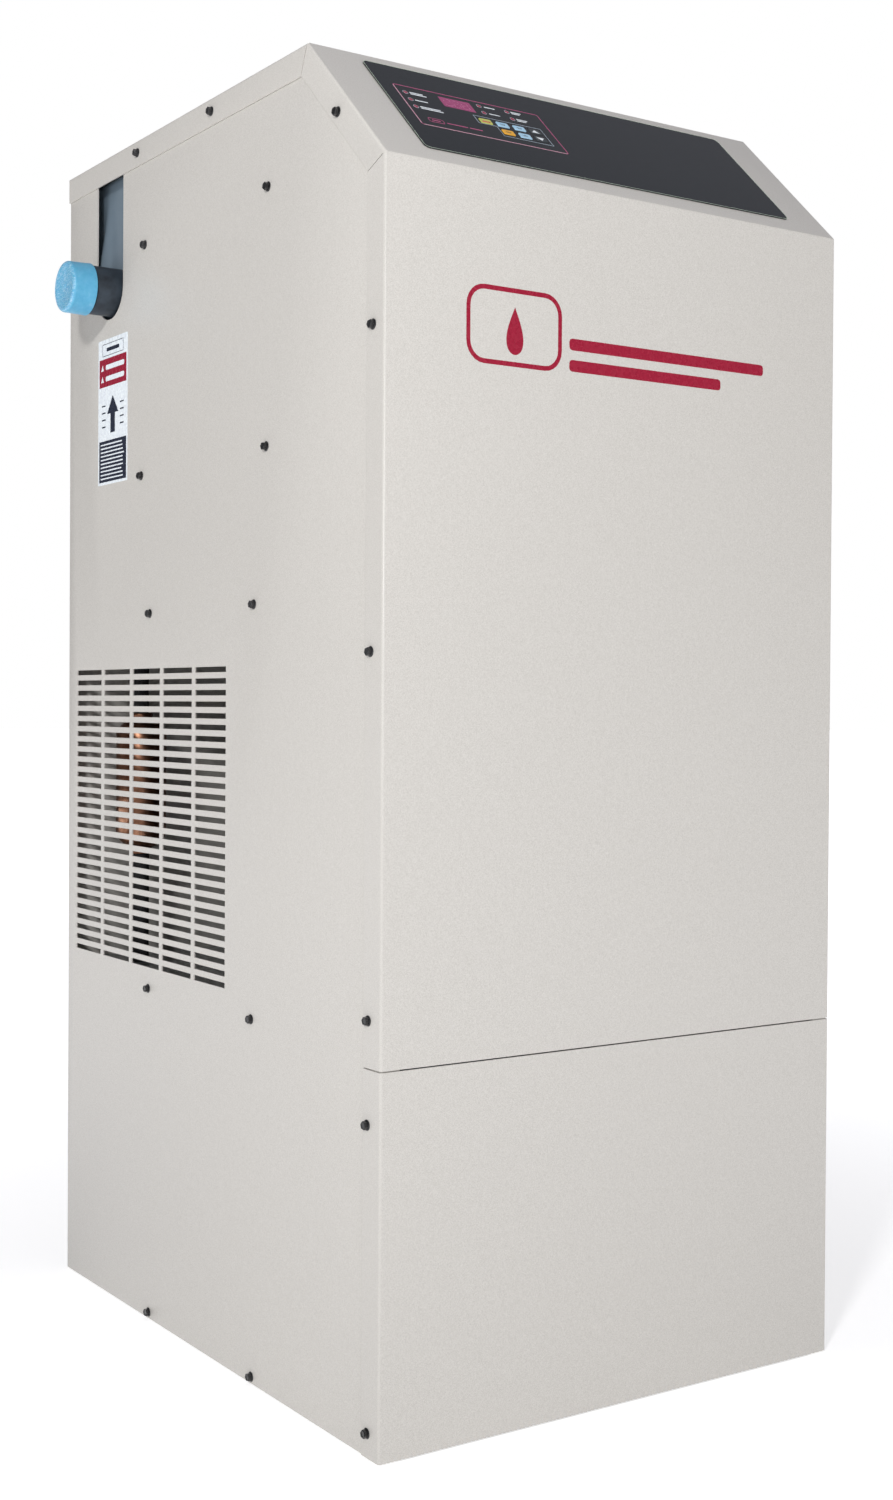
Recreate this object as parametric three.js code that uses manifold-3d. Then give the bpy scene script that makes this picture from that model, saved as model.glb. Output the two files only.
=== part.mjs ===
// Refrigerated compressed-air dryer in a floor-standing sheet-metal cabinet.
// Millimetres, +Z up. The origin is the middle of the base pan's underside: X runs across the front,
// with +X on the right of someone facing it, and -Y points out of the front.
import * as THREE from "three";
import { mergeVertices } from "three/addons/utils/BufferGeometryUtils.js";
import Module from "manifold-3d";

const wasm = await Module();
wasm.setup();

// ---------------------------------------------------------------- driving dimensions

// Cabinet
const WIDTH = 559;
const DEPTH = 686;
const HEIGHT = 1295;
const CHAMFER = 134; // what the sloped hood takes off the height and off the depth
const SHEET = 1.5; // panels and covers
const BEND = 3; // outer radius of every bend
const FLANGE = 28.5; // side flanges of the covers, and the top cover's skirt
const LIP = 20; // inward lips all round the side panels
const SPLIT = 350; // seam between the front cover and the lower front panel
const SEAM = 1.2; // open width of a seam
const MITRE_SLIT = 0.8; // open width of the slit where a flange turns a bend
const FIT = 0.3; // gap between pieces that touch
const PANEL_FOOT = 1.5; // what the panels and covers stand clear of the floor
const REAR_REVEAL = 6; // strip of the side panels' rear lips that shows beside the rear panel

// Base and decks
const PAN_SHEET = 2.5;
const PAN_HEIGHT = 32;
const DECK_SHEET = 2;
const DECK_LIP = 20; // side lips of a deck, which the side panels are screwed to
const LOWER_DECK = 362.5; // height of the lower deck's screw line
const UPPER_DECK = 773; // height of the upper deck's screw line
const RAIL_ABOVE_DECK = 152.5; // from the upper deck's screw line to the lower rail's
const RAIL_BELOW_ROOF = 118; // from the roof to the upper rail's screw line
const DECK_FRONT_GAP = 120; // from the cabinet's front to a deck's front edge
const DECK_REAR_GAP = 8;
const RAIL_FRONT_GAP = 190;
const RAIL_REAR_GAP = 176;
const HOLE_CLEAR = 4; // round each pipe or vessel that passes through a deck or rail

// Grilles
const SLOT_LENGTH = 67.7;
const SLOT_HEIGHT = 5.7;
const SLOT_PITCH_Y = 74.9;
const SLOT_PITCH_Z = 11.9;
const SLOT_COLUMNS = 5;
const GRILLE_REAR = 26.5; // solid margin between the grille and the rear edge
const GRILLE_BELOW = 23.2; // from the lower deck's screw line up to the grille
const GRILLE_ABOVE = 58; // least distance from the grille up to the upper deck's screw line

// Air ports: the ends of two-inch nominal tube, under slip-on shipping caps
const PORT_REAR = 113.3; // from the rear wall forward to the ports' axis
const PORT_BELOW = 153.7; // from the roof down to the ports' axis
const PORT_RADIUS = 27;
const PORT_BORE = 24; // radius
const PORT_REACH = 45.4; // how far a port stands out of the cabinet
const NOTCH_CLEAR = 7.3; // between the port and its notch in the side panel, at the sides
const NOTCH_RISE = 3.5; // how far the notch's round end is centred above the port
const CAP_WALL = 1.2;
const PORT_BLIND = 6; // how far inside the side panel the open bore stops
const CAP_START = 26.5; // from the cabinet's side out to the cap's open rim
const CAP_AIR = 8; // between the port's end and the inside of the cap
const CAP_ROUND = 4;

// Air circuit
const EXCHANGER_HALF = 100; // half the width of its square jacket
const EXCHANGER_CORNER = 16; // radius of the jacket's upright edges
const EXCHANGER_TO_PANEL = 12;
const EXCHANGER_TOP_GAP = 14; // below the roof
const EVAPORATOR_RADIUS = 85;
const EVAPORATOR_GAP = 24; // from the exchanger across to the evaporator
const EVAPORATOR_FORWARD = 184.7; // from the ports' axis forward to the evaporator's axis
const EVAPORATOR_TOP_GAP = 155;
const SEPARATOR_RADIUS = 55;
const SEPARATOR_HEIGHT = 220;
const VESSEL_FOOT = 16; // spacer between the upper deck and each vessel
const DOME = 22; // height of the rounded ends of a vessel
const AIR_PIPE_RADIUS = 21;
const AIR_BEND = 32;
const WARM_LINK_RISE = 62; // from a vessel's foot up to the link between exchanger and evaporator
const COLD_LINK_RISE = 180;
const DRY_LINK_DROP = 72; // from the ports' axis down to the link from the separator

// Refrigeration
const COMPRESSOR = { x: 60, y: 110, radius: 115, height: 290, plate: 4, plateHalf: 105 };
// Its shell from foot to crown: [share of the radius, share of the height]
const COMPRESSOR_SHELL = [
  [0, 0], [0.6, 0], [0.9, 0.1], [1, 0.2], [1, 0.8], [0.92, 0.91], [0.7, 0.975], [0.35, 1], [0, 1],
];
const GROMMET = { height: 16, radius: 14, bore: 5, inset: 16 };
const TERMINAL_BOX = { deep: 38, wide: 72, low: 130, high: 205 };
const COIL = { thick: 66, wide: 380, tall: 350, toPanel: 5, endPlate: 2, border: 3 };
const COIL_INLET = 0.7; // across the coil's thickness to where the discharge line enters, as a share
const COIL_OUTLET = 0.3; // and to where the liquid line leaves
const SHROUD = { deep: 38, sheet: 2, ringLength: 24, ringWall: 3 };
const FAN = { radius: 148, clear: 7, hub: 36, hubLength: 34, blades: 5, pitch: 26, blade: 2.2 };
const BLADE_ROOT = 20; // half chord of a blade at the hub
const BLADE_TIP = 46; // half chord of a blade at the tip
const MOTOR = { radius: 60, length: 78, gap: 12, shaft: 6, shaftInside: 22 };
const BRACKET = { thick: 3, tall: 34, legs: 9, beyondRing: 8 };
const ACCUMULATOR = { radius: 30, height: 164, toPanel: 56.5, forward: 79, rise: 136.5 };
const DRIER = { radius: 27, height: 175, x: -60, forward: 93, rise: 98 };
const TUBE_RADIUS = 6.5;
const SUCTION_RADIUS = 9.5;
const TUBE_BEND = 24;
const RISER_GAP = 42; // from the coil's front end forward to the discharge riser
const DISCHARGE_HEIGHT = 220;
const RETURN_HEIGHT = 250;
const SUCTION_UNDER_DECK = 16; // from the upper deck's screw line down to the suction line's long run
const SUCTION_RISE = 100; // from a vessel's foot up to where the suction line leaves the evaporator
const EXPANSION_RISE = 40;

// Condensate drain
const BALL_VALVE = { height: 330, radius: 15, long: 44, stem: 5, stemLength: 16 };
const LEVER = { long: 74, wide: 13, thick: 4, hub: 10 };
const DRAIN_VALVE = { height: 215, half: 24, tall: 46, coilTall: 34, coilHalf: 18 };
const BULKHEAD = { radius: 10, thread: 7.5, bore: 2.8, inside: 16, outside: 18, flange: 4 };

// Controls, on the hood's sloped face: s is the distance up the slope from the front bend
const OVERLAY = { half: 227, low: 20.7, high: 175, thick: 1, corner: 6 };
const KEY = { wide: 14, tall: 8.6, corner: 1.6, proud: 0.6, travel: 0.5 };
const KEY_CLEAR = 0.35;
const KEY_COLUMNS = [-120.5, -100.5, -80.5, -61.5];
const KEY_ROWS = [98, 84.2];
const KEY_WINDOW_MARGIN = 4; // hood opening round the keypad, beyond the keys
const BOARD = { left: -210, right: -38, low: 64, high: 137.5, thick: 1.6, gap: 7 };
const DISPLAY = { left: -161, right: -124, low: 112.5, high: 130.5, thick: 5 };

// Electrical
const BOX = { toPanel: 14, wide: 132, front: 143, deep: 90, tall: 125, sheet: 1.5 };
const CONTACTOR = { wide: 45, deep: 60, tall: 75, rise: 25, inset: 24 };
const GLAND = { x: 180, rise: 110, radius: 14, thread: 10, bore: 6.5, inside: 10, outside: 26, flange: 5 };

const FRONT = -DEPTH / 2;
const BACK = DEPTH / 2;
const SIDE = WIDTH / 2;
const TUCK = SHEET + FIT; // how far each inner layer lies inside the one over it
const PANEL_INSIDE = SIDE - TUCK - SHEET;
const REAR_INSIDE = BACK - TUCK - SHEET;
const PORT = { y: BACK - PORT_REAR, z: HEIGHT - PORT_BELOW };
const FAR = 2 * Math.max(WIDTH, DEPTH, HEIGHT); // size of cutting blocks
const LOWER_FLOOR = LOWER_DECK + DECK_LIP / 2;
const UPPER_FLOOR = UPPER_DECK + DECK_LIP / 2;
const RAILS = [UPPER_DECK + RAIL_ABOVE_DECK, HEIGHT - RAIL_BELOW_ROOF];

// ---------------------------------------------------------------- shapes

function solid(geometry) {
  const plain = geometry.clone();
  plain.deleteAttribute("normal");
  plain.deleteAttribute("uv");
  const merged = mergeVertices(plain, 1e-4);
  return new wasm.Manifold(
    new wasm.Mesh({
      numProp: 3,
      vertProperties: merged.attributes.position.array,
      triVerts: new Uint32Array(merged.index.array),
    }),
  );
}

function geometryOf(body) {
  const mesh = body.getMesh();
  return new THREE.BufferGeometry()
    .setAttribute("position", new THREE.BufferAttribute(new Float32Array(mesh.vertProperties), 3))
    .setIndex(new THREE.BufferAttribute(new Uint32Array(mesh.triVerts), 1));
}

const cut = (body, cutters) => cutters.reduce((rest, cutter) => rest.subtract(cutter), body);
const join = (bodies) => bodies.reduce((all, body) => all.add(body));

function box(x0, x1, y0, y1, z0, z1) {
  const sized = new THREE.BoxGeometry(x1 - x0, y1 - y0, z1 - z0);
  return sized.translate((x0 + x1) / 2, (y0 + y1) / 2, (z0 + z1) / 2);
}
const block = (...sides) => solid(box(...sides));

// Turns a shape made along Z to lie along X, Y or Z.
function laidAlong(axis, geometry) {
  if (axis === "x") return geometry.rotateY(Math.PI / 2);
  if (axis === "y") return geometry.rotateX(-Math.PI / 2);
  return geometry;
}

// A turned piece along an axis; each profile point is [radius, distance along the axis].
function turned(axis, profile, centre, sides = 20) {
  const points = profile.map(([radius, along]) => new THREE.Vector2(radius, along));
  const upright = new THREE.LatheGeometry(points, sides).rotateX(Math.PI / 2);
  return solid(laidAlong(axis, upright).translate(...centre));
}

// A round bar between two places on an axis; centre gives its other two coordinates.
function bar(axis, from, to, radius, centre, sides = 20) {
  return turned(axis, [[0, from], [radius, from], [radius, to], [0, to]], centre, sides);
}

const polygon = (points) => new THREE.Shape(points.map(([a, b]) => new THREE.Vector2(a, b)));

function roundedRectangle(x0, x1, y0, y1, r) {
  const shape = new THREE.Shape();
  shape.moveTo(x0 + r, y0);
  shape.absarc(x1 - r, y0 + r, r, -Math.PI / 2, 0);
  shape.absarc(x1 - r, y1 - r, r, 0, Math.PI / 2);
  shape.absarc(x0 + r, y1 - r, r, Math.PI / 2, Math.PI);
  shape.absarc(x0 + r, y0 + r, r, Math.PI, 1.5 * Math.PI);
  return shape;
}

function extruded(shape, from, to, curveSegments = 3) {
  const settings = { depth: to - from, bevelEnabled: false, curveSegments };
  return new THREE.ExtrudeGeometry(shape, settings).translate(0, 0, from);
}

// An outline in (Y, Z), extruded across X.
function across(shape, x0, x1, curveSegments = 3) {
  const turn = new THREE.Matrix4().set(0, 0, 1, 0, 1, 0, 0, 0, 0, 1, 0, 0, 0, 0, 0, 1);
  return solid(extruded(shape, x0, x1, curveSegments).applyMatrix4(turn));
}

// A line of stations with square corners rounded, each station with its own direction.
class Route extends THREE.Curve {
  constructor(corners, bend, stepsPerBend = 2) {
    super();
    const points = corners.map((corner) => new THREE.Vector3(...corner));
    const direction = (i) => points[i + 1].clone().sub(points[i]).normalize();
    this.stations = [{ place: points[0], heading: direction(0) }];
    for (let i = 1; i < points.length - 1; i++) {
      const [before, after] = [direction(i - 1), direction(i)];
      const centre = points[i].clone().addScaledVector(before, -bend).addScaledVector(after, bend);
      for (let k = 0; k <= stepsPerBend; k++) {
        const angle = ((k / stepsPerBend) * Math.PI) / 2;
        const [sin, cos] = [Math.sin(angle), Math.cos(angle)];
        this.stations.push({
          place: centre.clone().addScaledVector(before, bend * sin).addScaledVector(after, -bend * cos),
          heading: before.clone().multiplyScalar(cos).addScaledVector(after, sin),
        });
      }
    }
    this.stations.push({ place: points[points.length - 1], heading: direction(points.length - 2) });
  }
  get steps() {
    return this.stations.length - 1;
  }
  between(t, key, target) {
    const at = t * this.steps;
    const i = Math.min(Math.floor(at), this.steps - 1);
    return target.lerpVectors(this.stations[i][key], this.stations[i + 1][key], at - i);
  }
  getPoint(t, target = new THREE.Vector3()) {
    return this.between(t, "place", target);
  }
  getTangent(t, target = new THREE.Vector3()) {
    return this.between(t, "heading", target).normalize();
  }
  getUtoTmapping(u) {
    return u;
  }
}

function tube(corners, radius, bend, sides = 8) {
  const corner = (i) => [
    radius * Math.cos((2 * Math.PI * i) / sides),
    radius * Math.sin((2 * Math.PI * i) / sides),
  ];
  const section = polygon(Array.from({ length: sides }, (_, i) => corner(i)));
  const extrudePath = new Route(corners, bend);
  return solid(new THREE.ExtrudeGeometry(section, { steps: extrudePath.steps, extrudePath }));
}

// ---------------------------------------------------------------- tree of named meshes

const finish = (color, roughness, metalness = 0) =>
  new THREE.MeshStandardMaterial({ color, roughness, metalness });
const PAINT = () => finish(0xd6cfc4, 0.45);
const GALVANISED = () => finish(0xa9adb0, 0.4, 0.9);
const BLACK_STEEL = () => finish(0x15181c, 0.3, 0.4);
const FOAM = () => finish(0x101112, 0.9);
const COPPER = () => finish(0xb5714a, 0.35, 0.9);
const FINS = () => finish(0xb9bcc0, 0.4, 0.8);
const BRASS = () => finish(0xb8943f, 0.35, 0.9);
const RUBBER = () => finish(0x1b1b1b, 0.85);
const BLUE_CAP = () => finish(0x4fb0e6, 0.45);
const OVERLAY_BLACK = () => finish(0x14191d, 0.35);
const BOARD_GREEN = () => finish(0x1d5a38, 0.6);
const GREY_PLASTIC = () => finish(0x8c9094, 0.5);
const RED_GLASS = () => finish(0x7d1238, 0.2);

const dryer = new THREE.Group();

// Adds a solid to the tree as one named mesh.
function piece(name, body, material, group = dryer) {
  const mesh = new THREE.Mesh(geometryOf(body), material);
  mesh.name = name;
  group.add(mesh);
}

// ---------------------------------------------------------------- cabinet skin

const HALF_TURN = Math.tan(Math.PI / 8); // the hood's two bends turn 45 degrees each

// The side outline in (Y, Z), moved in by inset, with its bends rounded; it runs down past the floor.
function sideOutline(inset, radius) {
  const corners = [
    [FRONT + inset, -FAR / 4],
    [BACK - inset, -FAR / 4],
    [BACK - inset, HEIGHT - inset],
    [FRONT + CHAMFER + inset * HALF_TURN, HEIGHT - inset],
    [FRONT + inset, HEIGHT - CHAMFER - inset * HALF_TURN],
  ].map(([y, z]) => new THREE.Vector2(y, z));
  const shape = new THREE.Shape();
  shape.moveTo(corners[0].x, corners[0].y).lineTo(corners[1].x, corners[1].y);
  for (let i = 2; i < corners.length; i++) {
    const back = corners[i - 1].clone().sub(corners[i]);
    const on = corners[(i + 1) % corners.length].clone().sub(corners[i]);
    const run = radius / Math.tan(Math.abs(back.angleTo(on)) / 2);
    const enter = back.setLength(run).add(corners[i]);
    const leave = on.setLength(run).add(corners[i]);
    shape.lineTo(enter.x, enter.y);
    shape.quadraticCurveTo(corners[i].x, corners[i].y, leave.x, leave.y);
  }
  return shape;
}

// A long block whose outer face is y = 0 and whose two edges beside that face are rounded.
function edgeRounder(half, radius, segments) {
  const shape = new THREE.Shape();
  shape.moveTo(-half, -FAR).lineTo(half, -FAR);
  shape.absarc(half - radius, -radius, radius, 0, Math.PI / 2);
  shape.absarc(-half + radius, -radius, radius, Math.PI / 2, Math.PI);
  return extruded(shape, -FAR, FAR, segments);
}

// The whole cabinet moved in by inset, with the given radius on every bend.
function envelope(inset, radius, segments) {
  const faces = [
    [0, BACK - inset, 0],
    [90, 0, HEIGHT - inset],
    [135, FRONT + CHAMFER / 2 + inset * Math.SQRT1_2, HEIGHT - CHAMFER / 2 - inset * Math.SQRT1_2],
    [180, FRONT + inset, 0],
  ];
  const rounders = faces.map(([degrees, y, z]) =>
    solid(edgeRounder(SIDE - inset, radius, segments).rotateX((degrees * Math.PI) / 180).translate(0, y, z)),
  );
  return rounders.reduce(
    (body, rounder) => body.intersect(rounder),
    across(sideOutline(inset, radius), -SIDE, SIDE, segments),
  );
}

const coverShell = envelope(0, BEND, 3).subtract(envelope(SHEET, BEND - SHEET, 1));
const panelShell = envelope(TUCK, BEND - SHEET, 1).subtract(envelope(TUCK + SHEET, FIT, 1));

// Inside corners of the flange band at the hood's two bends, in (Y, Z).
const LOWER_MITRE = [FRONT + FLANGE, HEIGHT - CHAMFER - FLANGE * HALF_TURN];
const UPPER_MITRE = [FRONT + CHAMFER + FLANGE * HALF_TURN, HEIGHT - FLANGE];

// A thin slab across the cabinet along the bisector of a hood bend, from the flange's inside corner outwards.
function mitreSlit([y, z], tilt, width, reach) {
  const slab = new THREE.BoxGeometry(FAR, width, reach).translate(0, 0, reach / 2 - SHEET);
  return solid(slab.rotateX(tilt).translate(0, y, z));
}
const LOWER_TILT = (3 * Math.PI) / 8; // the lower bend's bisector, from vertical
const SLIT_LENGTH = FLANGE / Math.cos(Math.PI / 8) - BEND;

const hoodToWorld = (s) => [FRONT + s * Math.SQRT1_2, HEIGHT - CHAMFER + s * Math.SQRT1_2];
const keypadWindow = {
  x0: KEY_COLUMNS[0] - KEY.wide / 2 - KEY_WINDOW_MARGIN,
  x1: KEY_COLUMNS[KEY_COLUMNS.length - 1] + KEY.wide / 2 + KEY_WINDOW_MARGIN,
  s0: KEY_ROWS[1] - KEY.tall / 2 - KEY_WINDOW_MARGIN,
  s1: KEY_ROWS[0] + KEY.tall / 2 + KEY_WINDOW_MARGIN,
};

// A block given by its place on the hood: across, up the slope, and out from the sheet's outer face.
function hoodBlock(x0, x1, s0, s1, out0, out1) {
  const [y, z] = hoodToWorld(0);
  return solid(box(x0, x1, s0, s1, out0, out1).rotateX(Math.PI / 4).translate(0, y, z));
}

function upperFrontCover() {
  const bottom = SPLIT + SEAM / 2;
  const band = polygon([
    [FRONT - BEND, bottom],
    [FRONT + FLANGE, bottom],
    LOWER_MITRE,
    UPPER_MITRE,
    [UPPER_MITRE[0] - (FLANGE + BEND) * HALF_TURN, HEIGHT + BEND],
    [FRONT - BEND, HEIGHT + BEND],
  ]);
  const window = keypadWindow;
  return cut(coverShell.intersect(across(band, -FAR, FAR)), [
    mitreSlit(LOWER_MITRE, LOWER_TILT, MITRE_SLIT, SLIT_LENGTH),
    hoodBlock(window.x0, window.x1, window.s0, window.s1, -BEND, BEND),
  ]);
}

function topCover() {
  const gap = SEAM / Math.cos(Math.PI / 8);
  const band = polygon([
    [UPPER_MITRE[0] + gap, UPPER_MITRE[1]],
    [BACK + BEND, UPPER_MITRE[1]],
    [BACK + BEND, HEIGHT + BEND],
    [UPPER_MITRE[0] + gap - (FLANGE + BEND) * HALF_TURN, HEIGHT + BEND],
  ]);
  return coverShell.intersect(across(band, -FAR, FAR));
}

function lowerFrontPanel() {
  const band = block(-FAR, FAR, FRONT - BEND, FRONT + FLANGE, PANEL_FOOT, SPLIT - SEAM / 2);
  return coverShell.intersect(band);
}

function grilleSlots() {
  const rear = BACK - GRILLE_REAR;
  const low = LOWER_DECK + GRILLE_BELOW;
  const high = UPPER_DECK - GRILLE_ABOVE;
  const rows = 1 + Math.floor((high - low - SLOT_HEIGHT) / SLOT_PITCH_Z);
  const slots = [];
  for (let column = 0; column < SLOT_COLUMNS; column++)
    for (let row = 0; row < rows; row++) {
      const y = rear - column * SLOT_PITCH_Y;
      const z = low + row * SLOT_PITCH_Z;
      slots.push(block(-FAR, FAR, y - SLOT_LENGTH, y, z, z + SLOT_HEIGHT));
    }
  return slots;
}

// Round-bottomed notch that lets a side panel lift off over its port.
function portNotch() {
  const radius = PORT_RADIUS + NOTCH_CLEAR;
  const shape = new THREE.Shape();
  shape.moveTo(PORT.y + radius, HEIGHT + BEND).lineTo(PORT.y - radius, HEIGHT + BEND);
  shape.absarc(PORT.y, PORT.z + NOTCH_RISE, radius, Math.PI, 2 * Math.PI);
  return across(shape, -FAR, FAR, 8);
}

const panelCutters = [...grilleSlots(), portNotch()];

function sidePanel(hand) {
  const [x0, x1] = [hand * (SIDE - TUCK - LIP), hand * FAR].sort((a, b) => a - b);
  const lips = block(x0, x1, -FAR, FAR, PANEL_FOOT, FAR);
  return cut(panelShell.intersect(lips), panelCutters);
}

function rearPanel() {
  const half = SIDE - REAR_REVEAL;
  const sheet = block(-half, half, BACK - SHEET, BACK, PANEL_FOOT, HEIGHT - FLANGE - SEAM);
  return cut(sheet, [
    bar("y", 0, FAR, BULKHEAD.thread + FIT, [SEPARATOR.x, 0, DRAIN_VALVE.height], 14),
    bar("y", 0, FAR, GLAND.thread + FIT, [GLAND.x, 0, UPPER_FLOOR + GLAND.rise], 14),
  ]);
}

function basePan() {
  const inset = 2 * TUCK;
  const [x, y0, y1] = [SIDE - inset, FRONT + inset, BACK - inset];
  const outer = block(-x, x, y0, y1, 0, PAN_HEIGHT);
  const t = PAN_SHEET;
  const hollow = block(-x + t, x - t, y0 + t, y1 - t, t, PAN_HEIGHT + t);
  return outer.subtract(hollow);
}

// A sheet across the cabinet with a lip turned down along each side.
function deck(screwLine, y0, y1, holes) {
  const top = screwLine + DECK_LIP / 2;
  const half = PANEL_INSIDE - FIT;
  const outer = block(-half, half, y0, y1, top - DECK_LIP, top);
  const t = DECK_SHEET;
  const hollow = block(-half + t, half - t, y0 - t, y1 + t, top - DECK_LIP - t, top - t);
  return cut(outer.subtract(hollow), holes);
}

// ---------------------------------------------------------------- places of the inner pieces

const EXCHANGER = {
  x: -(PANEL_INSIDE - EXCHANGER_TO_PANEL - EXCHANGER_HALF),
  y: PORT.y,
  foot: UPPER_FLOOR + VESSEL_FOOT,
  top: HEIGHT - EXCHANGER_TOP_GAP,
};
const EVAPORATOR = {
  x: EXCHANGER.x + EXCHANGER_HALF + EVAPORATOR_GAP + EVAPORATOR_RADIUS,
  y: PORT.y - EVAPORATOR_FORWARD,
  foot: EXCHANGER.foot,
  top: HEIGHT - EVAPORATOR_TOP_GAP,
};
const SEPARATOR = {
  x: EXCHANGER.x,
  y: EVAPORATOR.y,
  foot: EXCHANGER.foot,
  top: EXCHANGER.foot + SEPARATOR_HEIGHT,
};
const coil = {
  x0: PANEL_INSIDE - COIL.toPanel - COIL.thick,
  x1: PANEL_INSIDE - COIL.toPanel,
  y: BACK - GRILLE_REAR - ((SLOT_COLUMNS - 1) * SLOT_PITCH_Y + SLOT_LENGTH) / 2,
  z0: LOWER_FLOOR + FIT,
};
const coilFront = coil.y - COIL.wide / 2;
const fanAxis = [coil.y, coil.z0 + COIL.tall / 2];
const shroudX = coil.x0 - FIT - SHROUD.deep; // the shroud's face plate
const ringX = shroudX - SHROUD.ringLength;
const ringInside = FAN.radius + FAN.clear;
const ringOutside = ringInside + SHROUD.ringWall;
const hubX = (ringX + shroudX + SHROUD.sheet - FAN.hubLength) / 2;
const motorX = hubX - MOTOR.gap - MOTOR.length;
const accumulator = {
  x: -(PANEL_INSIDE - ACCUMULATOR.toPanel),
  y: BACK - ACCUMULATOR.forward,
  foot: LOWER_DECK + ACCUMULATOR.rise,
  top: LOWER_DECK + ACCUMULATOR.rise + ACCUMULATOR.height,
};
const drier = {
  y: coilFront - DRIER.forward,
  foot: LOWER_FLOOR + DRIER.rise,
  top: LOWER_FLOOR + DRIER.rise + DRIER.height,
};
const riser = { x: coil.x0 + COIL.thick * COIL_INLET, y: coilFront - RISER_GAP };
const liquidX = coil.x0 + COIL.thick * COIL_OUTLET;
const suctionX = EVAPORATOR.x + EVAPORATOR_RADIUS + TUBE_BEND + SUCTION_RADIUS;
const suctionY = EVAPORATOR.y + 2 * TUBE_BEND + SUCTION_RADIUS;

// A square column with rounded upright edges, round the heat exchanger's axis.
function exchangerColumn(half, corner, from, to) {
  const outline = roundedRectangle(-half, half, -half, half, corner);
  return solid(extruded(outline, from, to).translate(EXCHANGER.x, EXCHANGER.y, 0));
}
const exchangerSpace = (clear) =>
  exchangerColumn(EXCHANGER_HALF + clear, EXCHANGER_CORNER + clear, UPPER_FLOOR, FAR);
const evaporatorSpace = (clear) =>
  bar("z", UPPER_FLOOR, FAR, EVAPORATOR_RADIUS + clear, [EVAPORATOR.x, EVAPORATOR.y, 0], 24);
const separatorSpace = (clear) =>
  bar("z", UPPER_FLOOR, FAR, SEPARATOR_RADIUS + clear, [SEPARATOR.x, SEPARATOR.y, 0], 20);
const pipeHole = (x, y, radius) => bar("z", 0, FAR, radius + HOLE_CLEAR, [x, y, 0], 10);

// ---------------------------------------------------------------- decks and vessels

function lowerDeck() {
  return deck(LOWER_DECK, FRONT + DECK_FRONT_GAP, REAR_INSIDE - DECK_REAR_GAP, [
    pipeHole(riser.x, riser.y, TUBE_RADIUS),
    pipeHole(SEPARATOR.x, SEPARATOR.y, TUBE_RADIUS),
    pipeHole(accumulator.x, accumulator.y, SUCTION_RADIUS),
  ]);
}

function upperDeck() {
  return deck(UPPER_DECK, FRONT + DECK_FRONT_GAP, REAR_INSIDE - DECK_REAR_GAP, [
    pipeHole(SEPARATOR.x, SEPARATOR.y, TUBE_RADIUS),
    pipeHole(DRIER.x, drier.y, TUBE_RADIUS),
    pipeHole(suctionX, suctionY, SUCTION_RADIUS),
  ]);
}

function rail(screwLine) {
  return deck(screwLine, FRONT + RAIL_FRONT_GAP, BACK - RAIL_REAR_GAP, [
    exchangerSpace(HOLE_CLEAR),
    evaporatorSpace(HOLE_CLEAR),
    separatorSpace(HOLE_CLEAR),
    pipeHole(suctionX, suctionY, SUCTION_RADIUS),
  ]);
}

// The exchanger's foam jacket, on a narrower foot that stands on the upper deck.
function exchangerJacket() {
  const { foot, top } = EXCHANGER;
  const pad = exchangerColumn(EXCHANGER_HALF - DOME, EXCHANGER_CORNER, UPPER_FLOOR + FIT, foot + FIT);
  return exchangerColumn(EXCHANGER_HALF, EXCHANGER_CORNER, foot, top).add(pad);
}

// A vessel with rounded ends on a narrower foot that stands on the upper deck.
function vessel(place, radius, sides) {
  const { x, y, foot, top } = place;
  const footRadius = radius - DOME;
  const profile = [
    [0, UPPER_FLOOR + FIT], [footRadius, UPPER_FLOOR + FIT], [footRadius, foot],
    [radius, foot + DOME], [radius, top - DOME], [radius - DOME / 3, top - DOME / 4],
    [footRadius, top], [0, top],
  ];
  return turned("z", profile, [x, y, 0], sides);
}

const vesselsCleared = (body) =>
  cut(body, [exchangerSpace(FIT), evaporatorSpace(FIT), separatorSpace(FIT)]);

// A port pipe from the exchanger's shell out through a side panel: -1 is the inlet, 1 the outlet.
function airPort(hand) {
  const axis = [0, PORT.y, PORT.z];
  const ordered = (a, b) => [Math.min(a, b), Math.max(a, b)];
  const pipe = bar("x", ...ordered(EXCHANGER.x, hand * (SIDE + PORT_REACH)), PORT_RADIUS, axis, 24);
  const blind = hand * (PANEL_INSIDE - PORT_BLIND);
  const bore = bar("x", ...ordered(blind, hand * FAR), PORT_BORE, axis, 24);
  return cut(pipe, [bore, exchangerSpace(FIT)]);
}

// A slip-on cap, turned about its axis with its open rim at the origin's side.
function portCap(hand) {
  const inner = PORT_RADIUS + FIT;
  const outer = inner + CAP_WALL;
  const rim = SIDE + CAP_START;
  const floor = SIDE + PORT_REACH + CAP_AIR;
  const end = floor + CAP_WALL;
  const soft = CAP_ROUND - CAP_WALL;
  const mid = 1 - Math.SQRT1_2;
  const profile = [
    [0, floor], [inner - soft, floor], [inner - soft * mid, floor - soft * mid],
    [inner, floor - soft], [inner, rim], [outer, rim], [outer, end - CAP_ROUND],
    [outer - CAP_ROUND * mid, end - CAP_ROUND * mid], [outer - CAP_ROUND, end], [0, end],
  ];
  const points = profile.map(([radius, along]) => new THREE.Vector2(radius, along));
  const upright = new THREE.LatheGeometry(points, 24);
  return solid(upright.rotateZ((-hand * Math.PI) / 2).translate(0, PORT.y, PORT.z));
}

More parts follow.
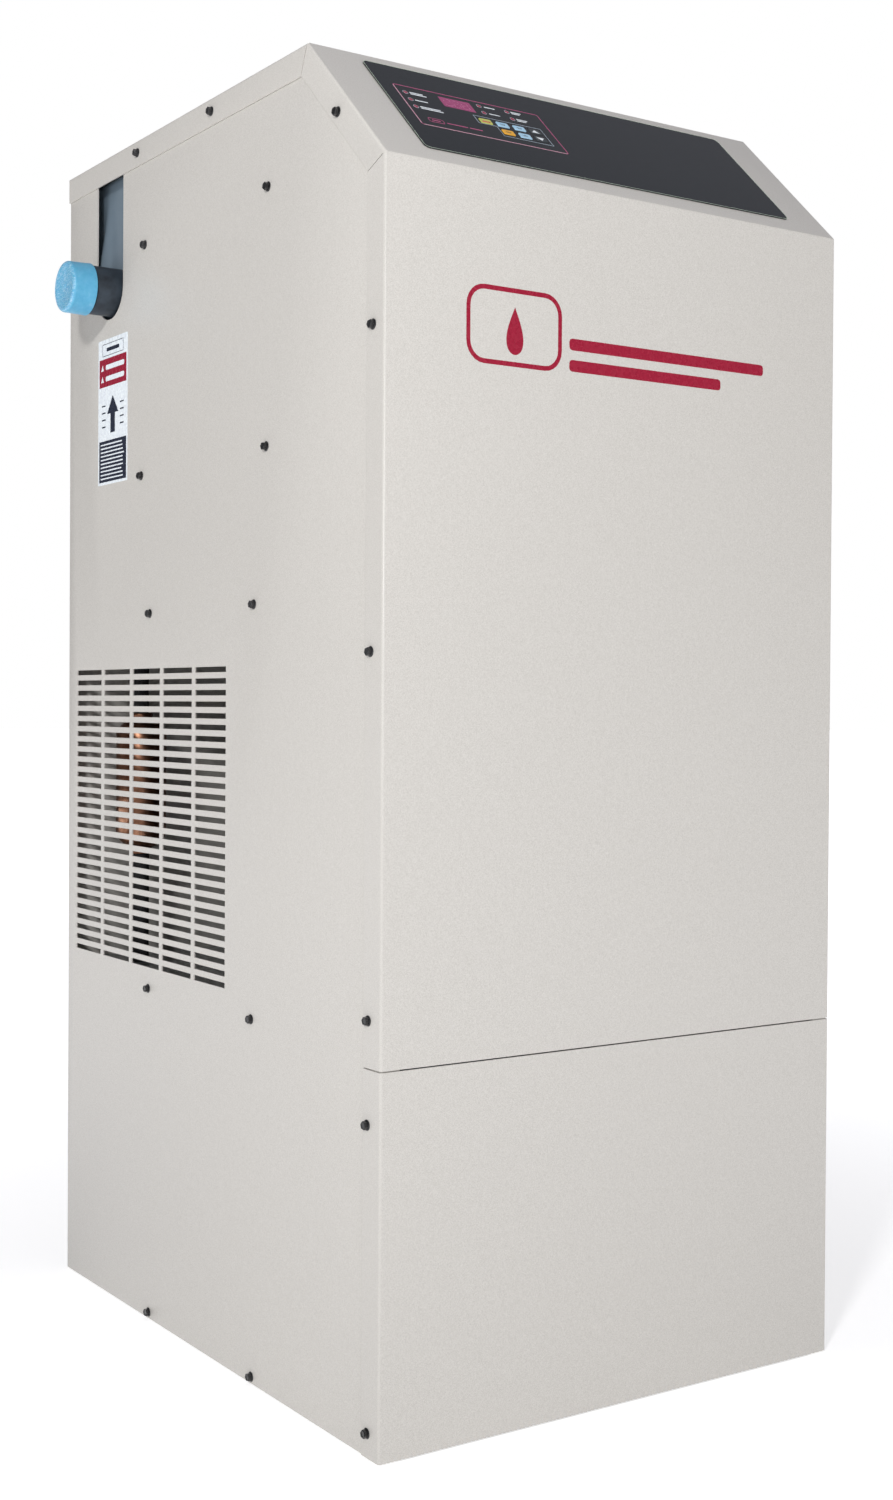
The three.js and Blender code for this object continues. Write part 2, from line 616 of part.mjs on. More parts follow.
const warmZ = EXCHANGER.foot + WARM_LINK_RISE;
const coldZ = EXCHANGER.foot + COLD_LINK_RISE;
const dryZ = PORT.z - DRY_LINK_DROP;
const warmLink = () => vesselsCleared(tube([
  [EXCHANGER.x + EXCHANGER_HALF - AIR_PIPE_RADIUS, EXCHANGER.y, warmZ],
  [EVAPORATOR.x, EXCHANGER.y, warmZ],
  [EVAPORATOR.x, EVAPORATOR.y + EVAPORATOR_RADIUS - AIR_PIPE_RADIUS, warmZ],
], AIR_PIPE_RADIUS, AIR_BEND, 10));
const coldLink = () => vesselsCleared(tube([
  [EVAPORATOR.x - EVAPORATOR_RADIUS + AIR_PIPE_RADIUS, EVAPORATOR.y, coldZ],
  [SEPARATOR.x + SEPARATOR_RADIUS - AIR_PIPE_RADIUS, EVAPORATOR.y, coldZ],
], AIR_PIPE_RADIUS, AIR_BEND, 10));
const dryLink = () => tube([
  [SEPARATOR.x, SEPARATOR.y, SEPARATOR.top + FIT],
  [SEPARATOR.x, SEPARATOR.y, dryZ],
  [SEPARATOR.x, EXCHANGER.y - EXCHANGER_HALF + AIR_PIPE_RADIUS, dryZ],
], AIR_PIPE_RADIUS, AIR_BEND, 10).subtract(exchangerSpace(FIT));

// ---------------------------------------------------------------- refrigeration

const compressorSpace = (clear) =>
  bar("z", 0, LOWER_DECK - DECK_LIP, COMPRESSOR.radius + clear, [COMPRESSOR.x, COMPRESSOR.y, 0], 24);
const plateZ = PAN_SHEET + 2 * FIT + GROMMET.height;

function compressorShell() {
  const { x, y, radius, height, plate, plateHalf } = COMPRESSOR;
  const profile = COMPRESSOR_SHELL.map(([out, up]) => [radius * out, plateZ + height * up]);
  const feet = block(x - plateHalf, x + plateHalf, y - plateHalf, y + plateHalf, plateZ, plateZ + plate);
  return turned("z", profile, [x, y, 0], 24).add(feet);
}

function grommet(i) {
  const reach = COMPRESSOR.plateHalf - GROMMET.inset;
  const x = COMPRESSOR.x + (i % 2 ? reach : -reach);
  const y = COMPRESSOR.y + (i < 2 ? -reach : reach);
  const [low, high] = [PAN_SHEET + FIT, PAN_SHEET + FIT + GROMMET.height];
  const profile = [
    [GROMMET.bore, low], [GROMMET.radius, low], [GROMMET.radius, high], [GROMMET.bore, high], [GROMMET.bore, low],
  ];
  return turned("z", profile, [x, y, 0], 10);
}

function terminalCover() {
  const { deep, wide, low, high } = TERMINAL_BOX;
  const [x, y] = [COMPRESSOR.x, COMPRESSOR.y];
  const reach = COMPRESSOR.radius + deep;
  return block(x, x + reach, y - wide / 2, y + wide / 2, plateZ + low, plateZ + high)
    .subtract(compressorSpace(FIT));
}

function condenserCoil() {
  const { x0, x1, y, z0 } = coil;
  const [half, end, rim] = [COIL.wide / 2, COIL.endPlate, COIL.border];
  const core = block(x0 + rim, x1 - rim, y - half, y + half, z0 + rim, z0 + COIL.tall - rim);
  const plates = [y - half, y + half - end].map((at) =>
    block(x0, x1, at, at + end, z0, z0 + COIL.tall),
  );
  return join([core, ...plates]);
}

function fanShroud() {
  const { deep, sheet } = SHROUD;
  const half = COIL.wide / 2;
  const [z0, z1] = [coil.z0, coil.z0 + COIL.tall];
  const tray = block(shroudX, shroudX + deep, coil.y - half, coil.y + half, z0, z1);
  const hollow = block(
    shroudX + sheet, FAR, coil.y - half + sheet, coil.y + half - sheet, z0 + sheet, z1 - sheet,
  );
  const ring = bar("x", ringX, shroudX + sheet, ringOutside, [0, ...fanAxis], 30);
  const opening = bar("x", ringX - FIT, shroudX + 2 * sheet, ringInside, [0, ...fanAxis], 30);
  return tray.subtract(hollow).add(ring).subtract(opening);
}

function fanMotor() {
  const { radius, length, shaft, shaftInside } = MOTOR;
  const [back, front] = [motorX, motorX + length];
  const bore = shaft + FIT;
  const floor = front - shaftInside - FIT;
  const profile = [
    [0, back], [radius * 0.7, back], [radius, back + radius * 0.15], [radius, front - radius * 0.15],
    [radius * 0.7, front], [bore, front], [bore, floor], [0, floor],
  ];
  return turned("x", profile, [0, ...fanAxis], 20);
}

const shaftFrom = motorX + MOTOR.length - MOTOR.shaftInside;
const shaftTo = hubX + FAN.hubLength * 0.7;
const fanShaft = () => bar("x", shaftFrom, shaftTo, MOTOR.shaft, [0, ...fanAxis], 12);

// A flat bar across the back of the motor with a leg at each end that reaches the shroud's face plate.
function fanBracket() {
  const { thick, tall, legs, beyondRing } = BRACKET;
  const [y, z] = fanAxis;
  const half = ringOutside + beyondRing + legs;
  const x = motorX + MOTOR.length / 2;
  const strap = block(x, x + thick, y - half, y + half, z - tall / 2, z + tall / 2);
  const collar = bar("x", x, x + thick, MOTOR.radius + tall / 2, [0, y, z], 20);
  const feet = [y - half, y + half - legs].map((at) =>
    block(x, shroudX - FIT, at, at + legs, z - tall / 2, z + tall / 2),
  );
  const motorHole = bar("x", x - thick, x + 2 * thick, MOTOR.radius + FIT, [0, y, z], 20);
  return join([strap, collar, ...feet]).subtract(motorHole);
}

function fanImpeller() {
  const { radius, hub, hubLength, blades, pitch, blade } = FAN;
  const end = hubX + hubLength;
  const bore = MOTOR.shaft + FIT;
  const floor = shaftTo + FIT;
  const profile = [
    [bore, hubX], [hub, hubX], [hub, end - hub * 0.2], [hub * 0.8, end], [0, end], [0, floor], [bore, floor],
    [bore, hubX],
  ];
  const root = hub * 0.8;
  const outline = polygon([
    [root, -BLADE_ROOT], [radius, -BLADE_TIP], [radius * 1.1, BLADE_TIP * 0.4],
    [radius * 0.9, BLADE_TIP], [root, BLADE_ROOT],
  ]);
  const tips = bar("x", hubX - FAR, FAR, radius, [0, 0, 0], 30);
  const middle = hubX + hubLength / 2;
  const vanes = Array.from({ length: blades }, (_, i) => {
    const vane = extruded(outline, -blade / 2, blade / 2).rotateX((pitch * Math.PI) / 180);
    vane.rotateY(-Math.PI / 2).rotateX((2 * Math.PI * i) / blades).translate(middle, 0, 0);
    return solid(vane).intersect(tips);
  });
  const shaftRoom = bar("x", -FAR, floor, bore, [0, 0, 0], 12);
  const turnedHub = turned("x", profile, [0, 0, 0], 20);
  const whole = join([turnedHub, ...vanes]).subtract(shaftRoom);
  return solid(geometryOf(whole).translate(0, ...fanAxis));
}

// A cylinder drawn in to a tube stub at each end; the stub, shoulder and full width start these
// shares of its radius in from the end.
const SPUN = { stub: 0.24, shoulder: 0.42, shoulderRadius: 0.8, full: 0.78 };
function spunVessel(x, y, foot, top, radius, stub) {
  const [neck, shoulder, full] = [SPUN.stub, SPUN.shoulder, SPUN.full].map((share) => share * radius);
  const shoulderRadius = radius * SPUN.shoulderRadius;
  const profile = [
    [0, foot], [stub, foot], [stub, foot + neck], [shoulderRadius, foot + shoulder],
    [radius, foot + full], [radius, top - full], [shoulderRadius, top - shoulder],
    [stub, top - neck], [stub, top], [0, top],
  ];
  return turned("z", profile, [x, y, 0], 14);
}
const STUB = 3; // how much thicker a stub is than the tube in it
const suctionAccumulator = () =>
  spunVessel(accumulator.x, accumulator.y, accumulator.foot, accumulator.top,
    ACCUMULATOR.radius, SUCTION_RADIUS + STUB);
const filterDrier = () =>
  spunVessel(DRIER.x, drier.y, drier.foot, drier.top, DRIER.radius, TUBE_RADIUS + STUB);

const lines = {
  discharge_line: [TUBE_RADIUS, [
    [COMPRESSOR.x, COMPRESSOR.y - COMPRESSOR.radius + TUBE_RADIUS, DISCHARGE_HEIGHT],
    [COMPRESSOR.x, riser.y, DISCHARGE_HEIGHT],
    [riser.x, riser.y, DISCHARGE_HEIGHT],
    [riser.x, riser.y, coil.z0 + COIL.tall - TUBE_BEND],
    [riser.x, coilFront - FIT, coil.z0 + COIL.tall - TUBE_BEND],
  ]],
  liquid_line: [TUBE_RADIUS, [
    [liquidX, coilFront - FIT, coil.z0 + 2 * TUBE_BEND],
    [liquidX, drier.y, coil.z0 + 2 * TUBE_BEND],
    [DRIER.x, drier.y, coil.z0 + 2 * TUBE_BEND],
    [DRIER.x, drier.y, drier.foot - FIT],
  ]],
  expansion_line: [TUBE_RADIUS, [
    [DRIER.x, drier.y, drier.top + FIT],
    [DRIER.x, drier.y, EVAPORATOR.foot + EXPANSION_RISE],
    [DRIER.x, EVAPORATOR.y, EVAPORATOR.foot + EXPANSION_RISE],
    [EVAPORATOR.x - EVAPORATOR_RADIUS + TUBE_RADIUS, EVAPORATOR.y, EVAPORATOR.foot + EXPANSION_RISE],
  ]],
  suction_line: [SUCTION_RADIUS, [
    [EVAPORATOR.x + EVAPORATOR_RADIUS - SUCTION_RADIUS, EVAPORATOR.y, EVAPORATOR.foot + SUCTION_RISE],
    [suctionX, EVAPORATOR.y, EVAPORATOR.foot + SUCTION_RISE],
    [suctionX, suctionY, EVAPORATOR.foot + SUCTION_RISE],
    [suctionX, suctionY, UPPER_DECK - SUCTION_UNDER_DECK],
    [accumulator.x, suctionY, UPPER_DECK - SUCTION_UNDER_DECK],
    [accumulator.x, accumulator.y, UPPER_DECK - SUCTION_UNDER_DECK],
    [accumulator.x, accumulator.y, accumulator.top + FIT],
  ]],
  compressor_return_line: [SUCTION_RADIUS, [
    [accumulator.x, accumulator.y, accumulator.foot - FIT],
    [accumulator.x, accumulator.y, RETURN_HEIGHT],
    [accumulator.x, COMPRESSOR.y, RETURN_HEIGHT],
    [COMPRESSOR.x - COMPRESSOR.radius + SUCTION_RADIUS, COMPRESSOR.y, RETURN_HEIGHT],
  ]],
};

// ---------------------------------------------------------------- condensate drain

const valveTop = BALL_VALVE.height + BALL_VALVE.long / 2;
const drainAt = [SEPARATOR.x, SEPARATOR.y];

const drainLine = () =>
  bar("z", valveTop + FIT, UPPER_FLOOR - DECK_SHEET - FIT, TUBE_RADIUS, [...drainAt, 0], 8)
    .add(bar("z", UPPER_FLOOR - 2 * DECK_SHEET, UPPER_FLOOR, TUBE_RADIUS, [...drainAt, 0], 8));

function ballValve() {
  const { height, radius, long, stem, stemLength } = BALL_VALVE;
  const [low, high] = [height - long / 2, height + long / 2];
  const profile = [
    [0, low], [radius * 0.75, low], [radius * 0.75, low + long * 0.22], [radius, low + long * 0.36],
    [radius, high - long * 0.36], [radius * 0.75, high - long * 0.22], [radius * 0.75, high], [0, high],
  ];
  const [x, y] = drainAt;
  const spindle = bar("y", -radius - stemLength, 0, stem, [x, y, height], 12);
  return turned("z", profile, [x, y, 0], 16).add(spindle);
}

// The lever hangs along the pipe when the valve is open and turns up to lie across it.
function valveLever() {
  const { long, wide, thick, hub } = LEVER;
  const [x, y] = drainAt;
  const front = y - BALL_VALVE.radius - BALL_VALVE.stemLength;
  const z = BALL_VALVE.height;
  const [y0, y1] = [front, front + thick];
  const arm = block(x - wide / 2, x + wide / 2, y0, y1, z - long, z);
  const boss = bar("y", y0, y1, hub, [x, 0, z], 16);
  const hole = bar("y", y0 - thick, y1 + thick, BALL_VALVE.stem + FIT, [x, 0, z], 12);
  return join([arm, boss]).subtract(hole);
}

function drainValve() {
  const { height, half, tall, coilTall, coilHalf } = DRAIN_VALVE;
  const [x, y] = drainAt;
  const [low, high] = [height - tall / 2, height + tall / 2];
  const body = block(x - half, x + half, y - half, y + half, low, high);
  const solenoid = block(
    x - coilHalf, x + coilHalf, y - coilHalf, y + coilHalf, low - coilTall, low + FIT,
  );
  const neck = bar("z", high - FIT, BALL_VALVE.height - BALL_VALVE.long / 2 - FIT, TUBE_RADIUS,
    [x, y, 0], 8);
  return join([body, solenoid, neck]);
}

const bulkheadInner = REAR_INSIDE - BULKHEAD.inside;
const drainOutlet = () =>
  bar("y", SEPARATOR.y + DRAIN_VALVE.half + FIT, bulkheadInner - FIT, TUBE_RADIUS,
    [SEPARATOR.x, 0, DRAIN_VALVE.height], 8);

// A fitting through the rear panel: a threaded body with a flange outside and an open bore.
function throughFitting(size, x, z) {
  const { radius, thread, bore, inside, outside, flange } = size;
  const [inner, end] = [REAR_INSIDE - inside, BACK + outside];
  const profile = [
    [bore, inner], [thread, inner], [thread, BACK + FIT], [radius, BACK + FIT],
    [radius, BACK + FIT + flange], [thread, BACK + FIT + flange], [thread, end], [bore, end],
    [bore, inner],
  ];
  return turned("y", profile, [x, 0, z], 14);
}

// ---------------------------------------------------------------- controls on the hood

const hood = new THREE.Group();
hood.position.set(0, FRONT, HEIGHT - CHAMFER);
hood.rotation.x = Math.PI / 4;
dryer.add(hood);

const keyNames = [
  ["key_power", "key_test", "key_set", "key_up"],
  [null, "key_enter", "key_mode", "key_down"],
];
const keyColours = {
  key_power: 0x5d9a45, key_test: 0x9fc9ea, key_set: 0x9fc9ea, key_up: 0xe8ecee,
  key_enter: 0xf0b428, key_mode: 0x9fc9ea, key_down: 0xe8ecee,
};
const keys = keyNames.flatMap((row, j) =>
  row.map((name, i) => ({ name, x: KEY_COLUMNS[i], s: KEY_ROWS[j] })).filter(({ name }) => name),
);
const overlayTop = FIT + OVERLAY.thick;
const boardTop = -SHEET - BOARD.gap;

function controlOverlay() {
  const { half, low, high, corner } = OVERLAY;
  const sheet = solid(extruded(roundedRectangle(-half, half, low, high, corner), FIT, overlayTop, 3));
  const [w, h] = [KEY.wide / 2 + KEY_CLEAR, KEY.tall / 2 + KEY_CLEAR];
  return cut(sheet, keys.map(({ x, s }) => block(x - w, x + w, s - h, s + h, -BEND, BEND)));
}

function keyCap({ x, s }) {
  const [w, h] = [KEY.wide / 2, KEY.tall / 2];
  const outline = roundedRectangle(x - w, x + w, s - h, s + h, KEY.corner);
  return solid(extruded(outline, boardTop + KEY.travel + FIT, overlayTop + KEY.proud, 2));
}

function controlBoard() {
  const { left, right, low, high, thick } = BOARD;
  return block(left, right, low, high, boardTop - thick, boardTop);
}

function displayModule() {
  const { left, right, low, high, thick } = DISPLAY;
  return block(left, right, low, high, boardTop + FIT, boardTop + FIT + thick);
}

// ---------------------------------------------------------------- electrical box

const boxRight = PANEL_INSIDE - BOX.toPanel;
const boxLeft = boxRight - BOX.wide;
const boxFront = FRONT + BOX.front;
const boxFoot = UPPER_FLOOR + FIT;

function electricalBox() {
  const { deep, tall, sheet } = BOX;
  const outer = block(boxLeft, boxRight, boxFront, boxFront + deep, boxFoot, boxFoot + tall);
  const hollow = block(
    boxLeft + sheet, boxRight - sheet, -FAR, boxFront + deep - sheet,
    boxFoot + sheet, boxFoot + tall - sheet,
  );
  return outer.subtract(hollow);
}

const electricalCover = () =>
  block(boxLeft, boxRight, boxFront - FIT - BOX.sheet, boxFront - FIT, boxFoot, boxFoot + BOX.tall);

function contactor() {
  const { wide, deep, tall, rise, inset } = CONTACTOR;
  const back = boxFront + BOX.deep - BOX.sheet - FIT;
  const [x, z] = [boxLeft + inset, boxFoot + rise];
  const body = block(x, x + wide, back - deep * 0.7, back, z, z + tall);
  const nose = block(x + wide * 0.15, x + wide * 0.85, back - deep, back, z + tall * 0.25, z + tall * 0.75);
  return body.add(nose);
}

// ---------------------------------------------------------------- assembly

piece("base_pan", basePan(), GALVANISED());
piece("left_side_panel", sidePanel(-1), PAINT());
piece("right_side_panel", sidePanel(1), PAINT());
piece("rear_panel", rearPanel(), PAINT());
piece("top_cover", topCover(), PAINT());
piece("upper_front_cover", upperFrontCover(), PAINT());
piece("lower_front_panel", lowerFrontPanel(), PAINT());
piece("lower_deck", lowerDeck(), GALVANISED());
piece("upper_deck", upperDeck(), GALVANISED());
piece("lower_vessel_rail", rail(RAILS[0]), GALVANISED());
piece("upper_vessel_rail", rail(RAILS[1]), GALVANISED());

piece("heat_exchanger", exchangerJacket(), FOAM());
piece("evaporator", vessel(EVAPORATOR, EVAPORATOR_RADIUS, 24), FOAM());
piece("moisture_separator", vessel(SEPARATOR, SEPARATOR_RADIUS, 20), BLACK_STEEL());
piece("inlet_pipe", airPort(-1), BLACK_STEEL());
piece("outlet_pipe", airPort(1), BLACK_STEEL());
piece("inlet_cap", portCap(-1), BLUE_CAP());
piece("outlet_cap", portCap(1), BLUE_CAP());
piece("warm_air_link", warmLink(), FOAM());
piece("cold_air_link", coldLink(), FOAM());
piece("dry_air_link", dryLink(), FOAM());

piece("compressor", compressorShell(), BLACK_STEEL());
for (let i = 0; i < 4; i++) piece(`compressor_grommet_${i + 1}`, grommet(i), RUBBER());
piece("compressor_terminal_cover", terminalCover(), GREY_PLASTIC());
piece("condenser_coil", condenserCoil(), FINS());
piece("fan_shroud", fanShroud(), GALVANISED());
piece("fan_motor", fanMotor(), BLACK_STEEL());
piece("fan_bracket", fanBracket(), GALVANISED());
piece("fan_shaft", fanShaft(), GALVANISED());
piece("fan_impeller", fanImpeller(), FINS());
piece("suction_accumulator", suctionAccumulator(), COPPER());
piece("filter_drier", filterDrier(), COPPER());
for (const [name, [radius, corners]] of Object.entries(lines)) {
  const line = tube(corners, radius, TUBE_BEND, 6);
  piece(name, cut(line, [compressorSpace(FIT), evaporatorSpace(FIT)]), COPPER());
}

piece("drain_line", drainLine(), COPPER());
piece("drain_ball_valve", ballValve(), BRASS());
piece("drain_valve_lever", valveLever(), GALVANISED());
piece("drain_valve", drainValve(), BRASS());
piece("drain_outlet_line", drainOutlet(), COPPER());
piece("drain_bulkhead", throughFitting(BULKHEAD, SEPARATOR.x, DRAIN_VALVE.height), BRASS());

piece("control_overlay", controlOverlay(), OVERLAY_BLACK(), hood);
for (const key of keys) piece(key.name, keyCap(key), finish(keyColours[key.name], 0.4), hood);
piece("control_board", controlBoard(), BOARD_GREEN(), hood);
piece("display_module", displayModule(), RED_GLASS(), hood);

piece("electrical_box", electricalBox(), GALVANISED());
piece("electrical_cover", electricalCover(), GALVANISED());
piece("contactor", contactor(), GREY_PLASTIC());
piece("cable_gland", throughFitting(GLAND, GLAND.x, UPPER_FLOOR + GLAND.rise), GREY_PLASTIC());

export default dryer;
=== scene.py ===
"""Looks of the refrigerated air dryer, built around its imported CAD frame. Metres, +Z up."""

import math
import random

import bmesh
import bpy
from mathutils import Matrix, Vector


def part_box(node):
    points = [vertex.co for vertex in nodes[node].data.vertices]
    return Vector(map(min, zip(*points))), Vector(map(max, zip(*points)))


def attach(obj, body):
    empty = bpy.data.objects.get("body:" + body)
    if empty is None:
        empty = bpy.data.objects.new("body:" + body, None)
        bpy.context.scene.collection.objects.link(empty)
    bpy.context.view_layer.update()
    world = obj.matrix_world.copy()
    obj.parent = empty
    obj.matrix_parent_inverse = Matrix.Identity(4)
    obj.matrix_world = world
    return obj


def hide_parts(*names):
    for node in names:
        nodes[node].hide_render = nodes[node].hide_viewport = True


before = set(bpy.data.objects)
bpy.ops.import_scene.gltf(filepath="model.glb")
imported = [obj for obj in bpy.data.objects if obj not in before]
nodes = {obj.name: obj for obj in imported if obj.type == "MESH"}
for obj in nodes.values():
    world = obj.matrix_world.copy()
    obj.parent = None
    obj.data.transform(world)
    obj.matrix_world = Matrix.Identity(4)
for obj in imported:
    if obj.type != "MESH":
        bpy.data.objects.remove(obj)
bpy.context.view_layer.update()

MM = 0.001

# ---------------- the frame's own places

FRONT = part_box("upper_front_cover")[0].y
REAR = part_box("rear_panel")[1].y
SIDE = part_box("upper_front_cover")[1].x
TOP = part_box("top_cover")[1].z
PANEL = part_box("right_side_panel")[1].x  # outside of the side panels, inside the covers' flanges
PORT = (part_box("inlet_pipe")[0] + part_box("inlet_pipe")[1]) / 2
CHAMFER = 134 * MM  # what the sloped hood takes off the height and the depth
SLOPE = math.sqrt(0.5)


def hood(x, s, out=0.0):
    """A point on the sloped hood: across, up the slope from its lower bend, and out from its face."""
    return Vector((x, FRONT + (s - out) * SLOPE, TOP - CHAMFER + (s + out) * SLOPE))


HOOD_FRAME = Matrix.Translation(hood(0, 0)) @ Matrix.Rotation(math.radians(45), 4, "X")
LEFT_FRAME = Matrix(((0, 0, -1, 0), (-1, 0, 0, 0), (0, 1, 0, 0), (0, 0, 0, 1)))
RIGHT_FRAME = Matrix(((0, 0, 1, 0), (1, 0, 0, 0), (0, 1, 0, 0), (0, 0, 0, 1)))
FRONT_FRAME = Matrix(((1, 0, 0, 0), (0, 0, -1, 0), (0, 1, 0, 0), (0, 0, 0, 1)))
REAR_FRAME = Matrix(((-1, 0, 0, 0), (0, 0, 1, 0), (0, 1, 0, 0), (0, 0, 0, 1)))
SHEET_EDGE = 0.35 * MM  # softened edge of the painted sheets


# ---------------- camera, light and floor

AZIMUTH, ELEVATION, ROLL = -32.6506, 0.7311, 0.311  # degrees; azimuth 0 looks along +Y
CAMERA_PLACE = (-1.17513, -1.71214, 0.67641)
LENS = 44.61
LENS_SHIFT = (0.0546, -0.0156)


def add_camera():
    azimuth, elevation, roll = (math.radians(a) for a in (AZIMUTH, ELEVATION, ROLL))
    back = Vector((
        math.sin(azimuth) * math.cos(elevation),
        -math.cos(azimuth) * math.cos(elevation),
        math.sin(elevation),
    ))
    right = (-back).cross(Vector((0, 0, 1))).normalized()
    up = right.cross(-back)
    rolled_right = math.cos(roll) * right + math.sin(roll) * up
    rolled_up = -math.sin(roll) * right + math.cos(roll) * up
    data = bpy.data.cameras.new("camera")
    data.sensor_width = 36
    data.lens = LENS
    data.shift_x, data.shift_y = LENS_SHIFT
    data.clip_end = 50
    camera = bpy.data.objects.new("camera", data)
    turn = Matrix((rolled_right, rolled_up, back)).transposed().to_4x4()
    camera.matrix_world = Matrix.Translation(CAMERA_PLACE) @ turn
    bpy.context.scene.collection.objects.link(camera)
    bpy.context.scene.camera = camera


def add_area(name, place, aim, size, power):
    data = bpy.data.lights.new(name, "AREA")
    data.shape = "RECTANGLE"
    data.size = data.size_y = size
    data.energy = power
    lamp = bpy.data.objects.new(name, data)
    direction = Vector(aim) - Vector(place)
    lamp.matrix_world = (
        Matrix.Translation(place) @ direction.to_track_quat("-Z", "Y").to_matrix().to_4x4()
    )
    bpy.context.scene.collection.objects.link(lamp)


WALL_TOP = 0.42  # sine of the elevation where the walls start to brighten
CEILING_FROM = 0.72  # and where the full ceiling starts
WALL = 0.11
CEILING = 0.41
CEILING_BLUE = 1.1  # the ceiling is slightly cool
FLOOR_REACH = 40


def add_world():
    """Dim walls under a brighter ceiling; the camera itself sees plain white."""
    world = bpy.data.worlds.new("studio")
    world.use_nodes = True
    tree = world.node_tree
    direction = tree.nodes.new("ShaderNodeTexCoord").outputs["Generated"]
    height = tree.nodes.new("ShaderNodeSeparateXYZ")
    tree.links.new(direction, height.inputs[0])
    ramp = tree.nodes.new("ShaderNodeValToRGB")
    tree.links.new(height.outputs[2], ramp.inputs["Fac"])
    wall, ceiling = ramp.color_ramp.elements
    wall.position, wall.color = WALL_TOP, (WALL, WALL, WALL, 1)
    ceiling.position, ceiling.color = CEILING_FROM, (CEILING, CEILING, CEILING * CEILING_BLUE, 1)
    lit = tree.nodes["Background"]
    tree.links.new(ramp.outputs["Color"], lit.inputs["Color"])
    seen = tree.nodes.new("ShaderNodeBackground")
    seen.inputs["Color"].default_value = (1, 1, 1, 1)
    choice = tree.nodes.new("ShaderNodeMixShader")
    path = tree.nodes.new("ShaderNodeLightPath")
    tree.links.new(path.outputs["Is Camera Ray"], choice.inputs[0])
    tree.links.new(lit.outputs[0], choice.inputs[1])
    tree.links.new(seen.outputs[0], choice.inputs[2])
    tree.links.new(choice.outputs[0], tree.nodes["World Output"].inputs[0])
    bpy.context.scene.world = world


def add_studio():
    add_world()
    bpy.context.scene.view_settings.view_transform = "Standard"
    add_area("key", (0.5, -4.2, 2.1), (0, 0, 1.0), 2.0, 17)
    add_area("side", (-2.65, -2.3, 2.05), (-0.28, 0.2, 1.1), 0.3, 60)
    floor = bpy.data.meshes.new("floor")
    corners = rectangle(-FLOOR_REACH, FLOOR_REACH, -FLOOR_REACH, FLOOR_REACH)
    floor.from_pydata([(x, y, 0) for x, y in corners], [], [(0, 1, 2, 3)])
    plane = bpy.data.objects.new("floor", floor)
    plane.data.materials.append(floor_material())
    bpy.context.scene.collection.objects.link(plane)


# ---------------- materials

class Shader:
    """A material's node tree, with short calls for the nodes used here."""

    def __init__(self, name):
        self.material = bpy.data.materials.new(name)
        self.material.use_nodes = True
        self.tree = self.material.node_tree
        self.surface = self.tree.nodes["Principled BSDF"]
        coordinates = self.tree.nodes.new("ShaderNodeTexCoord")
        self.place = coordinates.outputs["Object"]

    def set(self, **values):
        for name, value in values.items():
            socket = self.surface.inputs[name.replace("_", " ")]
            socket.default_value = (*value, 1) if isinstance(value, tuple) else value
        return self

    def link(self, source, target):
        self.tree.links.new(source, target)

    def node(self, kind, inputs=(), **settings):
        made = self.tree.nodes.new(kind)
        for name, value in settings.items():
            setattr(made, name, value)
        for name, value in dict(inputs).items():
            socket = made.inputs[name]
            if isinstance(value, bpy.types.NodeSocket):
                self.link(value, socket)
            elif isinstance(value, tuple) and socket.type == "RGBA":
                socket.default_value = (*value, 1)
            else:
                socket.default_value = value
        return made

    def scaled(self, stretch):
        """The object's coordinates stretched by (x, y, z)."""
        return self.node("ShaderNodeMapping", {"Vector": self.place, "Scale": stretch}).outputs[0]

    def noise(self, scale, detail=2.0, vector=None, roughness=0.5):
        inputs = {
            "Vector": vector or self.place, "Scale": scale, "Detail": detail, "Roughness": roughness,
        }
        return self.node("ShaderNodeTexNoise", inputs).outputs["Fac"]

    def cells(self, scale):
        return self.node("ShaderNodeTexVoronoi", {"Vector": self.place, "Scale": scale})

    def ramp(self, factor, stops):
        made = self.node("ShaderNodeValToRGB", {"Fac": factor})
        for i, (position, colour) in enumerate(stops):
            if i >= len(made.color_ramp.elements):
                made.color_ramp.elements.new(position)
            made.color_ramp.elements[i].position = position
            made.color_ramp.elements[i].color = (*colour, 1)
        return made.outputs["Color"]

    def span(self, factor, low, high, start=0.3, end=0.7):
        """The factor from start to end, remapped to low to high."""
        names = ("From Min", "From Max", "To Min", "To Max")
        inputs = dict(zip(names, (start, end, low, high)), Value=factor)
        return self.node("ShaderNodeMapRange", inputs).outputs[0]

    def mix(self, factor, a, b):
        made = self.node("ShaderNodeMix", data_type="RGBA")
        for index, value in ((0, factor), (6, a), (7, b)):
            socket = made.inputs[index]
            if isinstance(value, bpy.types.NodeSocket):
                self.link(value, socket)
            else:
                socket.default_value = (*value, 1) if isinstance(value, tuple) else value
        return made.outputs[2]

    def colour(self, socket):
        self.link(socket, self.surface.inputs["Base Color"])
        return self

    def roughness(self, socket):
        self.link(socket, self.surface.inputs["Roughness"])
        return self

    def bump(self, height, strength, distance=0.0002):
        inputs = {"Height": height, "Strength": strength, "Distance": distance}
        self.link(self.node("ShaderNodeBump", inputs).outputs[0], self.surface.inputs["Normal"])
        return self


